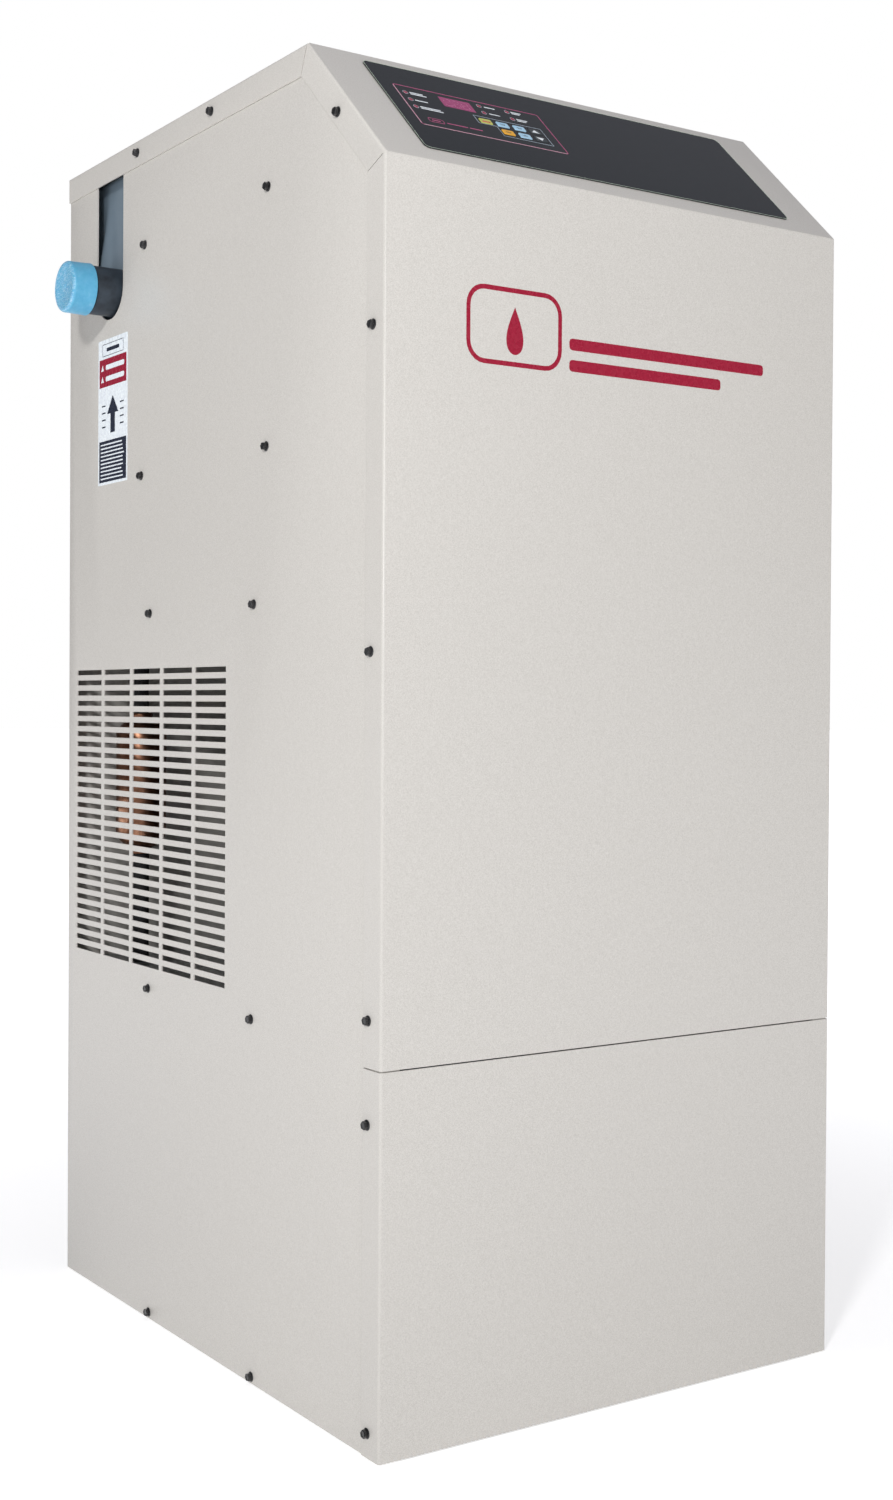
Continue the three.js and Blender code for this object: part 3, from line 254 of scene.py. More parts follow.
def floor_material():
    """White paper that glows, more so away from the object, so that it meets the white walls."""
    shader = Shader("floor_paper").set(Roughness=0.55, Emission_Color=(1, 1, 1))
    away = shader.node("ShaderNodeVectorMath", {0: shader.place}, operation="LENGTH").outputs["Value"]
    glow = shader.span(away, 0.52, 0.90, 0.5, 2.1)
    shader.link(glow, shader.surface.inputs["Emission Strength"])
    tone = shader.ramp(shader.noise(3), [(0.3, (0.93, 0.93, 0.93)), (0.7, (0.95, 0.95, 0.95))])
    return shader.colour(tone).material


def paint():
    """Powder coat: warm grey-beige with a fine speckle and an orange-peel surface."""
    shader = Shader("powder_coat").set(IOR=1.5)
    speckle = shader.noise(1500, 1)
    base = shader.ramp(speckle, [
        (0.30, (0.535, 0.512, 0.474)),
        (0.50, (0.615, 0.592, 0.554)),
        (0.72, (0.690, 0.668, 0.630)),
    ])
    drift = shader.span(shader.noise(2.5, 2), 0.0, 0.10)
    shader.colour(shader.mix(drift, base, (0.57, 0.545, 0.505)))
    shader.roughness(shader.span(shader.noise(900, 1), 0.30, 0.42))
    return shader.bump(shader.noise(620, 2), 0.35, 0.00006).material


def galvanised():
    shader = Shader("galvanised_sheet").set(Metallic=1.0)
    cells = shader.cells(90.0).outputs["Color"]
    grey = shader.node("ShaderNodeSeparateColor", {"Color": cells}).outputs[0]
    shader.colour(shader.ramp(grey, [(0.1, (0.50, 0.52, 0.54)), (0.9, (0.66, 0.67, 0.68))]))
    return shader.roughness(shader.span(grey, 0.28, 0.50)).material


def gloss_black(name="black_enamel", tint=(0.012, 0.014, 0.020), rough=(0.16, 0.30)):
    shader = Shader(name)
    dust = shader.noise(40, 4)
    shader.colour(shader.ramp(dust, [(0.35, tint), (0.8, tuple(3 * c for c in tint))]))
    shader.roughness(shader.span(dust, *rough))
    return shader.bump(shader.noise(220, 2), 0.15, 0.0002).material


def pipe_steel():
    """Black mill pipe: dull, slightly blotchy, with fine pitting."""
    shader = Shader("black_pipe").set(Metallic=0.3)
    blotch = shader.noise(70, 5)
    shader.colour(shader.ramp(blotch, [(0.3, (0.016, 0.022, 0.031)), (0.75, (0.052, 0.070, 0.092))]))
    shader.roughness(shader.span(blotch, 0.42, 0.66))
    return shader.bump(shader.noise(900, 3), 0.5, 0.0002).material


def jacket():
    """Smooth blue-black skin over the heat exchanger."""
    shader = Shader("jacket_skin")
    cloud = shader.noise(14, 4)
    shader.colour(shader.ramp(cloud, [(0.3, (0.155, 0.205, 0.250)), (0.8, (0.215, 0.270, 0.320))]))
    shader.roughness(shader.span(shader.noise(60, 3), 0.13, 0.24))
    return shader.bump(shader.noise(30, 2), 0.25, 0.001).material


def foam():
    shader = Shader("closed_cell_foam")
    cells = shader.cells(700.0).outputs["Distance"]
    shader.colour(shader.ramp(cells, [(0.0, (0.010, 0.010, 0.011)), (0.8, (0.030, 0.030, 0.032))]))
    shader.roughness(shader.span(cells, 0.7, 0.95, 0.0, 1.0))
    return shader.bump(cells, 0.6, 0.0003).material


def copper():
    """Drawn copper with brown heat bloom and darker stains."""
    shader = Shader("drawn_copper").set(Metallic=1.0)
    bloom = shader.noise(26, 6, roughness=0.65)
    shader.colour(shader.ramp(bloom, [
        (0.30, (0.10, 0.050, 0.032)), (0.54, (0.34, 0.165, 0.100)), (0.78, (0.66, 0.36, 0.23)),
    ]))
    shader.roughness(shader.span(bloom, 0.50, 0.22))
    return shader.bump(shader.noise(180, 3), 0.2, 0.0002).material


def brass():
    shader = Shader("turned_brass").set(Metallic=1.0)
    tone = shader.noise(60, 4)
    shader.colour(shader.ramp(tone, [(0.3, (0.45, 0.29, 0.09)), (0.7, (0.70, 0.50, 0.20))]))
    return shader.roughness(shader.span(tone, 0.22, 0.42)).material


def bright_metal(name, tone, rough, stretch):
    """Brushed or pressed light metal, with its grain drawn out along one axis."""
    shader = Shader(name).set(Metallic=1.0)
    grain = shader.noise(60, 3, shader.scaled(stretch))
    dark = tuple(0.82 * c for c in tone)
    shader.colour(shader.ramp(grain, [(0.3, dark), (0.7, tone)]))
    shader.roughness(shader.span(grain, *rough))
    return shader.bump(grain, 0.15, 0.0001).material


def plastic(name, low, high, rough=(0.35, 0.5), grain=700, depth=0.25):
    """Moulded plastic: slight colour drift and a fine eroded texture."""
    shader = Shader(name)
    shader.colour(shader.ramp(shader.noise(35, 3), [(0.3, low), (0.7, high)]))
    shader.roughness(shader.span(shader.noise(90, 2), *rough))
    return shader.bump(shader.noise(grain, 2), depth, 0.0001).material


def cap_plastic():
    """Soft blue polythene: lets a little light in, and is scuffed paler on its end."""
    shader = Shader("blue_polythene").set(Subsurface_Weight=0.12, Subsurface_Scale=0.004)
    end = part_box("outlet_cap")[1].x
    across = shader.node("ShaderNodeSeparateXYZ", {"Vector": shader.place}).outputs["X"]
    outward = shader.node("ShaderNodeMath", {0: across}, operation="ABSOLUTE").outputs[0]
    on_end = shader.span(outward, 0.0, 0.55, end - 0.0025, end - 0.0008)
    scuffs = shader.noise(120, 6, roughness=0.7)
    skin = shader.ramp(scuffs, [
        (0.35, (0.085, 0.375, 0.60)), (0.60, (0.120, 0.425, 0.65)), (0.80, (0.27, 0.54, 0.72)),
    ])
    streaks = shader.span(shader.noise(260, 6, shader.scaled((1, 1, 3.2)), 0.75), 0.0, 1.0, 0.46, 0.62)
    worn = shader.node("ShaderNodeMath", {0: on_end, 1: streaks}, operation="MULTIPLY").outputs[0]
    shader.colour(shader.mix(worn, skin, (0.66, 0.82, 0.93)))
    shader.roughness(shader.span(scuffs, 0.30, 0.48))
    return shader.bump(shader.noise(160, 3), 0.2, 0.0003).material


def film(name, colour, rough=(0.22, 0.32), gloss=0.5):
    """Printed polycarbonate film with a faint pebble; the same finish also carries the overlay's painted
    highlights.
    """
    shader = Shader(name).set(Specular_IOR_Level=gloss)
    paler = tuple(min(1, 1.15 * c + 0.003) for c in colour)
    shader.colour(shader.ramp(shader.noise(300, 2), [(0.3, colour), (0.7, paler)]))
    shader.roughness(shader.span(shader.noise(150, 2), *rough))
    return shader.bump(shader.noise(1200, 1), 0.2, 0.00004).material


# ---------------- mesh tools

def to_object(name, bm, material, place=Matrix.Identity(4), smooth=35):
    """Turns a bmesh drawn in millimetres into an object in metres, at a place."""
    bm.transform(place @ Matrix.Scale(MM, 4))
    bmesh.ops.recalc_face_normals(bm, faces=bm.faces)
    mesh = bpy.data.meshes.new(name)
    bm.to_mesh(mesh)
    bm.free()
    if smooth:
        mesh.polygons.foreach_set("use_smooth", [True] * len(mesh.polygons))
        mesh.set_sharp_from_angle(angle=math.radians(smooth))
    mesh.materials.append(material)
    made = bpy.data.objects.new(name, mesh)
    bpy.context.scene.collection.objects.link(made)
    return made


def place_piece(name, bm, material, body="cabinet", replaces=(), place=Matrix.Identity(4), smooth=35):
    made = to_object(name, bm, material, place, smooth)
    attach(made, body)
    if replaces:
        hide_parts(*replaces)
    return made


def lathe(profile, sides=64, bm=None, at=Matrix.Identity(4)):
    """A body turned about Z from (radius, height) pairs; radius 0 closes it on the axis."""
    bm = bm or bmesh.new()
    loop = profile[0] == profile[-1]
    rings = []
    for radius, height in profile[:-1] if loop else profile:
        count = sides if radius else 1
        turn = 2 * math.pi / sides
        rings.append([
            bm.verts.new(at @ Vector((radius * math.cos(i * turn), radius * math.sin(i * turn), height)))
            for i in range(count)
        ])
    pairs = list(zip(rings, rings[1:]))
    if loop:
        pairs.append((rings[-1], rings[0]))
    for low, high in pairs:
        if len(low) == len(high) == 1:
            continue
        for i in range(sides):
            j = (i + 1) % sides
            corners = [low[i % len(low)], low[j % len(low)], high[j % len(high)], high[i % len(high)]]
            bm.faces.new(list(dict.fromkeys(corners)))
    return bm


def collar(inner, outer, low, high):
    """The closed lathe profile of a plain ring."""
    return [(inner, low), (outer, low), (outer, high), (inner, high), (inner, low)]


def prism(outline, low, high, bm=None, holes=()):
    """An outline in X and Y made solid from low to high; holes are outlines cut through it."""
    bm = bm or bmesh.new()
    loops = [[bm.verts.new((x, y, low)) for x, y in loop] for loop in (outline, *holes)]
    if holes:
        edges = [bm.edges.new(pair) for loop in loops for pair in zip(loop, loop[1:] + loop[:1])]
        filled = bmesh.ops.triangle_fill(bm, use_beauty=True, edges=edges)["geom"]
        faces = [f for f in filled if isinstance(f, bmesh.types.BMFace)]
    else:
        faces = [bm.faces.new(loops[0])]
    raised = bmesh.ops.extrude_face_region(bm, geom=faces)["geom"]
    top = [v for v in raised if isinstance(v, bmesh.types.BMVert)]
    bmesh.ops.translate(bm, vec=(0, 0, high - low), verts=top)
    return bm


def rounded(x0, x1, y0, y1, radius, steps=6):
    points = []
    corners = ((x1, y0, -90), (x1, y1, 0), (x0, y1, 90), (x0, y0, 180))
    for cx, cy, start in corners:
        x = cx - radius if cx == x1 else cx + radius
        y = cy - radius if cy == y1 else cy + radius
        for k in range(steps + 1):
            angle = math.radians(start + 90 * k / steps)
            points.append((x + radius * math.cos(angle), y + radius * math.sin(angle)))
    return points


def rectangle(x0, x1, y0, y1):
    return [(x0, y0), (x1, y0), (x1, y1), (x0, y1)]


def sweep(points, radius, sides=12, bm=None):
    """A round bar along a line of points."""
    bm = bm or bmesh.new()
    points = [Vector(p) for p in points]
    across = None
    rings = []
    for i, point in enumerate(points):
        ahead = points[min(i + 1, len(points) - 1)] - points[max(i - 1, 0)]
        ahead.normalize()
        across = across - across.dot(ahead) * ahead if across else ahead.orthogonal()
        across.normalize()
        beside = ahead.cross(across)
        turn = 2 * math.pi / sides
        rings.append([
            bm.verts.new(point + radius * (math.cos(k * turn) * across + math.sin(k * turn) * beside))
            for k in range(sides)
        ])
    for low, high in zip(rings, rings[1:]):
        for k in range(sides):
            bm.faces.new((low[k], low[(k + 1) % sides], high[(k + 1) % sides], high[k]))
    bm.faces.new(rings[0])
    bm.faces.new(rings[-1])
    return bm


# ---------------- CAD nodes that stay

def smoothing_group(degrees):
    """Welds an imported node and smooths its shading across edges shallower than this."""
    group = bpy.data.node_groups.new("weld_and_smooth", "GeometryNodeTree")
    group.interface.new_socket("Geometry", in_out="INPUT", socket_type="NodeSocketGeometry")
    group.interface.new_socket("Geometry", in_out="OUTPUT", socket_type="NodeSocketGeometry")
    start = group.nodes.new("NodeGroupInput")
    end = group.nodes.new("NodeGroupOutput")
    plain = group.nodes.new("GeometryNodeRemoveAttribute")
    plain.inputs["Name"].default_value = "custom_normal"
    weld = group.nodes.new("GeometryNodeMergeByDistance")
    weld.inputs["Distance"].default_value = 0.00002
    angle = group.nodes.new("GeometryNodeInputMeshEdgeAngle")
    shallow = group.nodes.new("FunctionNodeCompare")
    shallow.data_type = "FLOAT"
    shallow.operation = "LESS_EQUAL"
    shallow.inputs[1].default_value = math.radians(degrees)
    faces = group.nodes.new("GeometryNodeSetShadeSmooth")
    sharpen = group.nodes.new("GeometryNodeSetShadeSmooth")
    sharpen.domain = "EDGE"
    link = group.links.new
    link(start.outputs[0], plain.inputs["Geometry"])
    link(plain.outputs[0], weld.inputs["Geometry"])
    link(weld.outputs[0], faces.inputs["Geometry"])
    link(angle.outputs["Unsigned Angle"], shallow.inputs[0])
    link(faces.outputs[0], sharpen.inputs["Geometry"])
    link(shallow.outputs[0], sharpen.inputs["Shade Smooth"])
    link(sharpen.outputs[0], end.inputs[0])
    return group


def dress_cad(finishes):
    """Gives every CAD node its material and smooth bends, and the covers soft sheet edges."""
    bends, tubes = smoothing_group(33), smoothing_group(65)
    for node in nodes.values():
        slot = node.material_slots[0]
        kind = slot.material.name
        slot.material = finishes[kind]
        smooth = node.modifiers.new("weld_and_smooth", "NODES")
        smooth.node_group = tubes if kind in ("copper", "pipe_foam") else bends
        if kind == "cabinet_paint" and "side_panel" not in node.name:
            edge = node.modifiers.new("soft_edge", "BEVEL")
            edge.width = SHEET_EDGE
            edge.segments = 2
            edge.limit_method = "ANGLE"
            edge.angle_limit = math.radians(50)
            edge.harden_normals = True


# ---------------- ports

def at_port(hand):
    """A frame on a port's axis with +Z pointing out of the cabinet: hand is -1 left, 1 right."""
    return Matrix.Translation((0, PORT.y, PORT.z)) @ Matrix.Rotation(hand * math.radians(90), 4, "Y")


def quarter(centre_r, centre_z, radius, start, end, steps=8):
    """Points of an arc in a lathe profile, from one angle to another in degrees."""
    angles = (math.radians(start + (end - start) * i / steps) for i in range(steps + 1))
    return [(centre_r + radius * math.cos(a), centre_z + radius * math.sin(a)) for a in angles]


def add_port(side, hand, finishes):
    """The end of an air tube with its slip-on cap."""
    pipe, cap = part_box(side + "_pipe"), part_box(side + "_cap")
    reach = max(abs(pipe[0].x), abs(pipe[1].x)) / MM
    radius = (pipe[1].z - pipe[0].z) / 2 / MM
    bore, inside, chamfer = radius - 3, 255, 0.8
    profile = [(bore, inside), (radius, inside), (radius, reach - 21), (radius - 0.9, reach - 20)]
    profile += [(radius - 0.9, reach - 14), (radius, reach - 13), (radius, reach - chamfer)]
    profile += [(radius - chamfer, reach), (bore + chamfer / 2, reach), (bore, reach - chamfer / 2)]
    profile.append((bore, inside))
    place_piece(
        side + "_tube_end", lathe(profile, 96), finishes["black_steel"],
        replaces=(side + "_pipe",), place=at_port(hand),
    )
    rim = min(abs(cap[0].x), abs(cap[1].x)) / MM
    end = max(abs(cap[0].x), abs(cap[1].x)) / MM
    inner, outer, wall, soft, lip = radius + 0.3, radius + 1.45, 1.2, 4.0, 0.5
    profile = [(inner, rim), (outer + lip, rim), (outer + lip + 0.15, rim + 0.5), (outer + lip, rim + 2.0)]
    profile += [(outer + 0.25, rim + 3.0), (outer, end - soft)]
    profile += quarter(outer - soft, end - soft, soft, 0, 90)[1:]
    profile += [(outer - soft - 2.0, end - 0.05), (outer - soft - 3.4, end - 0.45)]
    profile += [(2.4, end - 0.9), (1.9, end - 0.35)]
    profile += [(0, end - 0.35), (0, end - wall)]
    turn = soft - wall
    profile += quarter(inner - turn, end - wall - turn, turn, 90, 0)
    profile.append((inner, rim))
    place_piece(
        side + "_cap_moulded", lathe(profile, 96), finishes["blue_plastic"],
        body=side + "_cap", replaces=(side + "_cap",), place=at_port(hand),
    )


# ---------------- vessels and other turned pieces

def add_vessel(node, material, sides=96):
    """A pressure vessel under its skin, with rolled ends, on its foot; seams ring the skin."""
    low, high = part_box(node)
    centre = (low + high) / 2
    radius = (high.x - low.x) / 2 / MM
    top, bottom = high.z / MM, low.z / MM
    dome, foot = 22.0, 16.0
    profile = [(0, bottom), (radius - dome, bottom), (radius - dome, bottom + foot)]
    turns = 8
    start = bottom + foot
    for i in range(1, turns + 1):
        angle = math.radians(90 * i / turns)
        profile.append((radius - dome + dome * math.sin(angle), start + dome - dome * math.cos(angle)))
    for seam in (start + dome + 40, top - dome - 40):
        profile += [(radius, seam - 0.9), (radius - 0.7, seam), (radius, seam + 0.9)]
    for i in range(turns + 1):
        angle = math.radians(90 * i / turns)
        profile.append((radius - dome + dome * math.cos(angle), top - dome + dome * math.sin(angle)))
    profile.append((0, top))
    place_piece(
        node + "_skinned", lathe(profile, sides), material, replaces=(node,),
        place=Matrix.Translation((centre.x, centre.y, 0)),
    )


def add_jacket(finishes):
    """The exchanger's square foam jacket: pillowed faces, soft edges, and a swelling round each port."""
    low, high = (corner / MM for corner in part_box("heat_exchanger"))
    centre = (low + high) / 2
    half = (high.x - low.x) / 2
    port_y, port_z = PORT.y / MM, PORT.z / MM
    corner, soft, foot = 16.0, 12.0, 16.0
    bm = bmesh.new()
    loops = []
    levels = [(0, -22), (foot, -22)]
    turns = [math.radians(15 * k) for k in range(7)]
    levels += [(foot + soft - soft * math.cos(a), -soft + soft * math.sin(a)) for a in turns]
    body_foot, body_top = foot + soft + 6, high.z - low.z - soft
    rows = 60
    levels += [(body_foot + (body_top - body_foot) * k / rows, 0) for k in range(rows + 1)]
    levels += [(body_top + soft * math.sin(a), -soft + soft * math.cos(a)) for a in turns[1:]]
    for rise, grow in levels:
        z = low.z + rise
        loop = []
        for x, y in column_outline(half + grow, max(corner + grow, 6.0), 66, 8):
            out = Vector((x, y, 0)).normalized()
            world_y = centre.y + y
            pillow = 0.0
            if grow == 0:
                pillow = -1.6 + 1.3 * math.sin(z / 61) * math.cos(math.atan2(y, x) * 4 + 0.7)
                away = math.hypot(world_y - port_y, z - port_z)
                if abs(x) > half * 0.8:
                    pillow += 9.0 * math.exp(-((away / 30) ** 2))
                    fold = (world_y - port_y - 43 + 0.08 * (z - port_z)) / 8.5
                    rise = max(0.0, z - port_z - 10) / 60
                    pillow += 10.5 * math.exp(-fold * fold - rise * rise)
            loop.append(bm.verts.new((centre.x + x + out.x * pillow, world_y + out.y * pillow, z)))
        loops.append(loop)
    for below, above in zip(loops, loops[1:]):
        for i in range(len(below)):
            j = (i + 1) % len(below)
            bm.faces.new((below[i], below[j], above[j], above[i]))
    bm.faces.new(loops[0])
    bm.faces.new(loops[-1])
    place_piece(
        "heat_exchanger_jacket", bm, finishes["insulation_jacket"],
        replaces=("heat_exchanger",), smooth=60,
    )


def column_outline(half, corner, along, round_steps):
    """A square with rounded corners, its sides divided evenly."""
    points = []
    straight = half - corner
    for quarter_turn in range(4):
        turn = Matrix.Rotation(math.radians(90 * quarter_turn), 2)
        side = [(half, -straight + 2 * straight * k / along) for k in range(along)]
        bend = [
            (straight + corner * math.cos(a), straight + corner * math.sin(a))
            for a in (math.radians(90 * k / round_steps) for k in range(round_steps))
        ]
        points += [tuple(turn @ Vector(p)) for p in side + bend]
    return points


def add_spun_vessel(node, material, stub):
    """A copper cylinder drawn in to a stub at each end, with brazed collars."""
    low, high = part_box(node)
    centre = (low + high) / 2
    radius = (high.x - low.x) / 2 / MM
    bottom, top = low.z / MM, high.z / MM
    half = [(0, 0), (stub, 0), (stub + 0.8, 1.2), (stub + 0.8, 2.6), (stub, 4.2), (stub, 0.24 * radius)]
    steps = 9
    for i in range(1, steps + 1):
        t = i / steps
        ease = 0.5 - 0.5 * math.cos(math.pi * t)
        out = stub + (radius - stub) * math.sin(math.radians(90) * t)
        half.append((out, radius * (0.24 + 0.54 * (0.35 * t + 0.65 * ease))))
    profile = [(r, bottom + z) for r, z in half] + [(r, top - z) for r, z in reversed(half)]
    place_piece(
        node + "_spun", lathe(profile, 64), material, replaces=(node,),
        place=Matrix.Translation((centre.x, centre.y, 0)),
    )


# ---------------- coil and fan

def add_coil(finishes):
    """Finned condenser: pressed plate fins between end plates, with copper hairpins at both ends."""
    low, high = (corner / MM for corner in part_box("condenser_coil"))
    end_plate, border, gap = 2.0, 3.0, 2.8
    fins = bmesh.new()
    count = int((high.y - low.y - 2 * end_plate) / gap)
    for i in range(count):
        y = low.y + end_plate + (i + 0.5) * (high.y - low.y - 2 * end_plate) / count
        outline = []
        steps = 12
        x0, x1 = low.x + border, high.x - border
        for side in (-0.11, 0.11):
            walk = range(steps + 1) if side < 0 else range(steps, -1, -1)
            outline += [(x0 + (x1 - x0) * k / steps, y + side + (0.45 if k % 2 else -0.45)) for k in walk]
        prism(outline, low.z + border, high.z - border, fins)
    place_piece(
        "condenser_fins", fins, finishes["coil_fins"],
        replaces=("condenser_coil",), smooth=20,
    )
    plates = bmesh.new()
    for y in (low.y, high.y - end_plate):
        outline = rounded(low.x, high.x, y, y + end_plate, 0.4, 2)
        prism(outline, low.z, high.z, plates)
    place_piece("condenser_end_plates", plates, finishes["galvanised_steel"])
    rows = 13
    pitch = (high.z - low.z - 24) / rows
    bends = bmesh.new()
    for column in (0.3, 0.7):
        x = low.x + (high.x - low.x) * column
        for row in range(0, rows - 1, 2):
            for y, outward in ((high.y - 4, 1), (low.y + 4, -1)):
                shift = pitch if outward < 0 else 0
                z = low.z + 12 + pitch * row + shift
                if z + pitch > high.z - 8:
                    continue
                reach = 3.5
                half = pitch / 2
                path = [(x, y, z)]
                turns = 8
                for k in range(turns + 1):
                    angle = math.pi * k / turns
                    path.append((
                        x, y + outward * (reach + min(half, 12) * math.sin(angle)),
                        z + half - half * math.cos(angle),
                    ))
                path.append((x, y, z + pitch))
                sweep(path, 4.7, 10, bends)
    place_piece("condenser_hairpins", bends, finishes["copper"])


def add_impeller(finishes):
    """Five pressed blades, cambered and twisted, riveted to a spun hub."""
    low, high = (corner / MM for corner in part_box("fan_impeller"))
    centre_y, centre_z = (low.y + high.y) / 2, (low.z + high.z) / 2
    tip = (high.z - low.z) / 2 * 0.995
    middle = (low.x + high.x) / 2
    hub, hub_length, blades = 36.0, 34.0, 5
    bm = bmesh.new()
    radial, chordal = 9, 8
    for blade in range(blades):
        grids = []
        for face in (-0.5, 0.5):
            grid = []
            for i in range(radial + 1):
                share = i / radial
                radius = hub * 0.85 + (tip - hub * 0.85) * share
                half = 21 + 22 * share ** 0.8
                pitch = math.radians(33 - 10 * share)
                row = []
                for k in range(chordal + 1):
                    c = 2 * k / chordal - 1
                    camber = 4.5 * (1 - c * c)
                    along = half * c
                    axial = along * math.sin(pitch) + (camber + face * 1.6) * math.cos(pitch)
                    around = along * math.cos(pitch) - (camber + face * 1.6) * math.sin(pitch)
                    round_tip = radius - (6 * abs(c) ** 3 if i == radial else 0)
                    angle = 2 * math.pi * blade / blades + around / radius + 0.16 * share
                    row.append(bm.verts.new((
                        axial, round_tip * math.cos(angle), round_tip * math.sin(angle),
                    )))
                grid.append(row)
            grids.append(grid)
        back, front = grids
        for i in range(radial):
            for k in range(chordal):
                bm.faces.new((back[i][k], back[i][k + 1], back[i + 1][k + 1], back[i + 1][k]))
                bm.faces.new((front[i][k], front[i + 1][k], front[i + 1][k + 1], front[i][k + 1]))
        for i in range(radial):
            bm.faces.new((back[i][0], back[i + 1][0], front[i + 1][0], front[i][0]))
            bm.faces.new((back[i][-1], front[i][-1], front[i + 1][-1], back[i + 1][-1]))
        for k in range(chordal):
            bm.faces.new((back[0][k], front[0][k], front[0][k + 1], back[0][k + 1]))
            bm.faces.new((back[-1][k], back[-1][k + 1], front[-1][k + 1], front[-1][k]))
    x0 = -hub_length / 2
    profile = [
        (6.3, x0), (hub - 1, x0), (hub, x0 + 1), (hub, x0 + 24), (hub - 2, x0 + 29), (hub - 8, x0 + 33),
        (hub - 12, x0 + 34), (12, x0 + 34), (11, x0 + 32.5), (6.3, x0 + 32.5), (6.3, x0),
    ]
    lathe(profile, 56, bm, Matrix.Rotation(math.radians(90), 4, "Y"))
    place_piece(
        "fan_impeller_pressed", bm, finishes["fan_aluminium"], body="fan",
        replaces=("fan_impeller",), place=Matrix.Translation(Vector((middle, centre_y, centre_z)) * MM),
    )


# ---------------- screws

WASHER = [
    (0, 0), (4.9, 0), (5.0, 0.25), (4.9, 0.5), (4.2, 1.0), (3.6, 1.1), (0, 1.1),
]
HEAD = [(0, 0.9), (3.9, 0.9), (4.0, 1.3), (4.0, 4.2), (3.6, 4.8), (2.6, 4.8), (2.3, 4.35), (0, 4.35)]


def add_screws(name, frame_matrix, places, finishes, seed):
    """Hex washer-head screws; each place is (across, up, height of the sheet's face)."""
    chance = random.Random(seed)
    bm = bmesh.new()
    for across, up, out in places:
        turn = Matrix.Rotation(chance.uniform(0, math.pi / 3), 4, "Z")
        at = Matrix.Translation((across, up, out)) @ turn
        lathe(WASHER, 24, bm, at)
        lathe(HEAD, 6, bm, at)
    place_piece(name, bm, finishes["screw"], place=frame_matrix, smooth=25)


# Distances back from the front face, and heights, of the screws on one side of the cabinet.
PANEL_SCREWS = [
    (483, 1177), (490, 925), (467, 772.6), (468, 362.6), (464, 8),
    (210.5, 1178), (212, 926), (235.5, 773), (237.5, 362.5), (234, 8),
]
COVER_SCREWS = [
    (499, 1281), (326, 1281), (79.7, 1215.5),
    (18.2, 1012), (19.5, 722), (20.4, 393), (21.3, 299.6), (18.9, 24),
]
REAR_SCREWS = [
    (side * 262, height) for side in (-1, 1) for height in (28, 300, 560, 820, 1080, 1250)
] + [(-90, 1250), (90, 1250), (-90, 28), (90, 28)]


def add_all_screws(finishes):
    front, rear = -FRONT / MM, REAR / MM
    panel, cover = PANEL / MM, SIDE / MM
    for name, side_frame, hand in (("left", LEFT_FRAME, 1), ("right", RIGHT_FRAME, -1)):
        places = [(hand * (front - back), height, panel) for back, height in PANEL_SCREWS]
        places += [(hand * (front - back), height, cover) for back, height in COVER_SCREWS]
        add_screws(name + "_screws", side_frame, places, finishes, 3 + hand)
    places = [(across, height, rear) for across, height in REAR_SCREWS]
    add_screws("rear_screws", REAR_FRAME, places, finishes, 7)


# ---------------- printed matter, and painted highlights on the overlay

def add_print(name, bm, colour_name, finishes, frame_matrix, body="cabinet"):
    place_piece(name, bm, finishes[colour_name], body=body, place=frame_matrix, smooth=0)


def ring(x0, x1, y0, y1, radius, width, low, high, bm=None):
    outer = rounded(x0, x1, y0, y1, radius)
    inner = rounded(x0 + width, x1 - width, y0 + width, y1 - width, max(radius - width, 0.2))
    return prism(outer, low, high, bm, holes=(inner,))


def bars(lines, height, low, high, bm=None):
    """Plain rules: (left, right, middle height) each."""
    bm = bm or bmesh.new()
    half, corner = height / 2, 0.3 * height
    for left, right, middle in lines:
        prism(rounded(left, right, middle - half, middle + half, corner, 2), low, high, bm)
    return bm


PRINT = 0.06  # thickness of a printed layer
TOP_PRINT = 0.03  # thickness of a second layer on it
OVERLAY_TOP = 1.3
LEDS = [
    (-200.5, 124.4), (-200.5, 111.5), (-200.5, 98.7),
    (-113, 129), (-113, 116.5), (-79, 129.4), (-79, 116.1),
]
LED_BARS = [
    (-195.5, -180, 125.7), (-195.5, -177, 123.0), (-195.5, -181, 111.5),
    (-195.5, -172, 100.0), (-195.5, -170, 97.3),
    (-107, -94, 129), (-107, -94, 116.5),
    (-74, -61.5, 130.7), (-74, -64, 128.1), (-74, -60.5, 117.4), (-74, -63, 114.8),
]


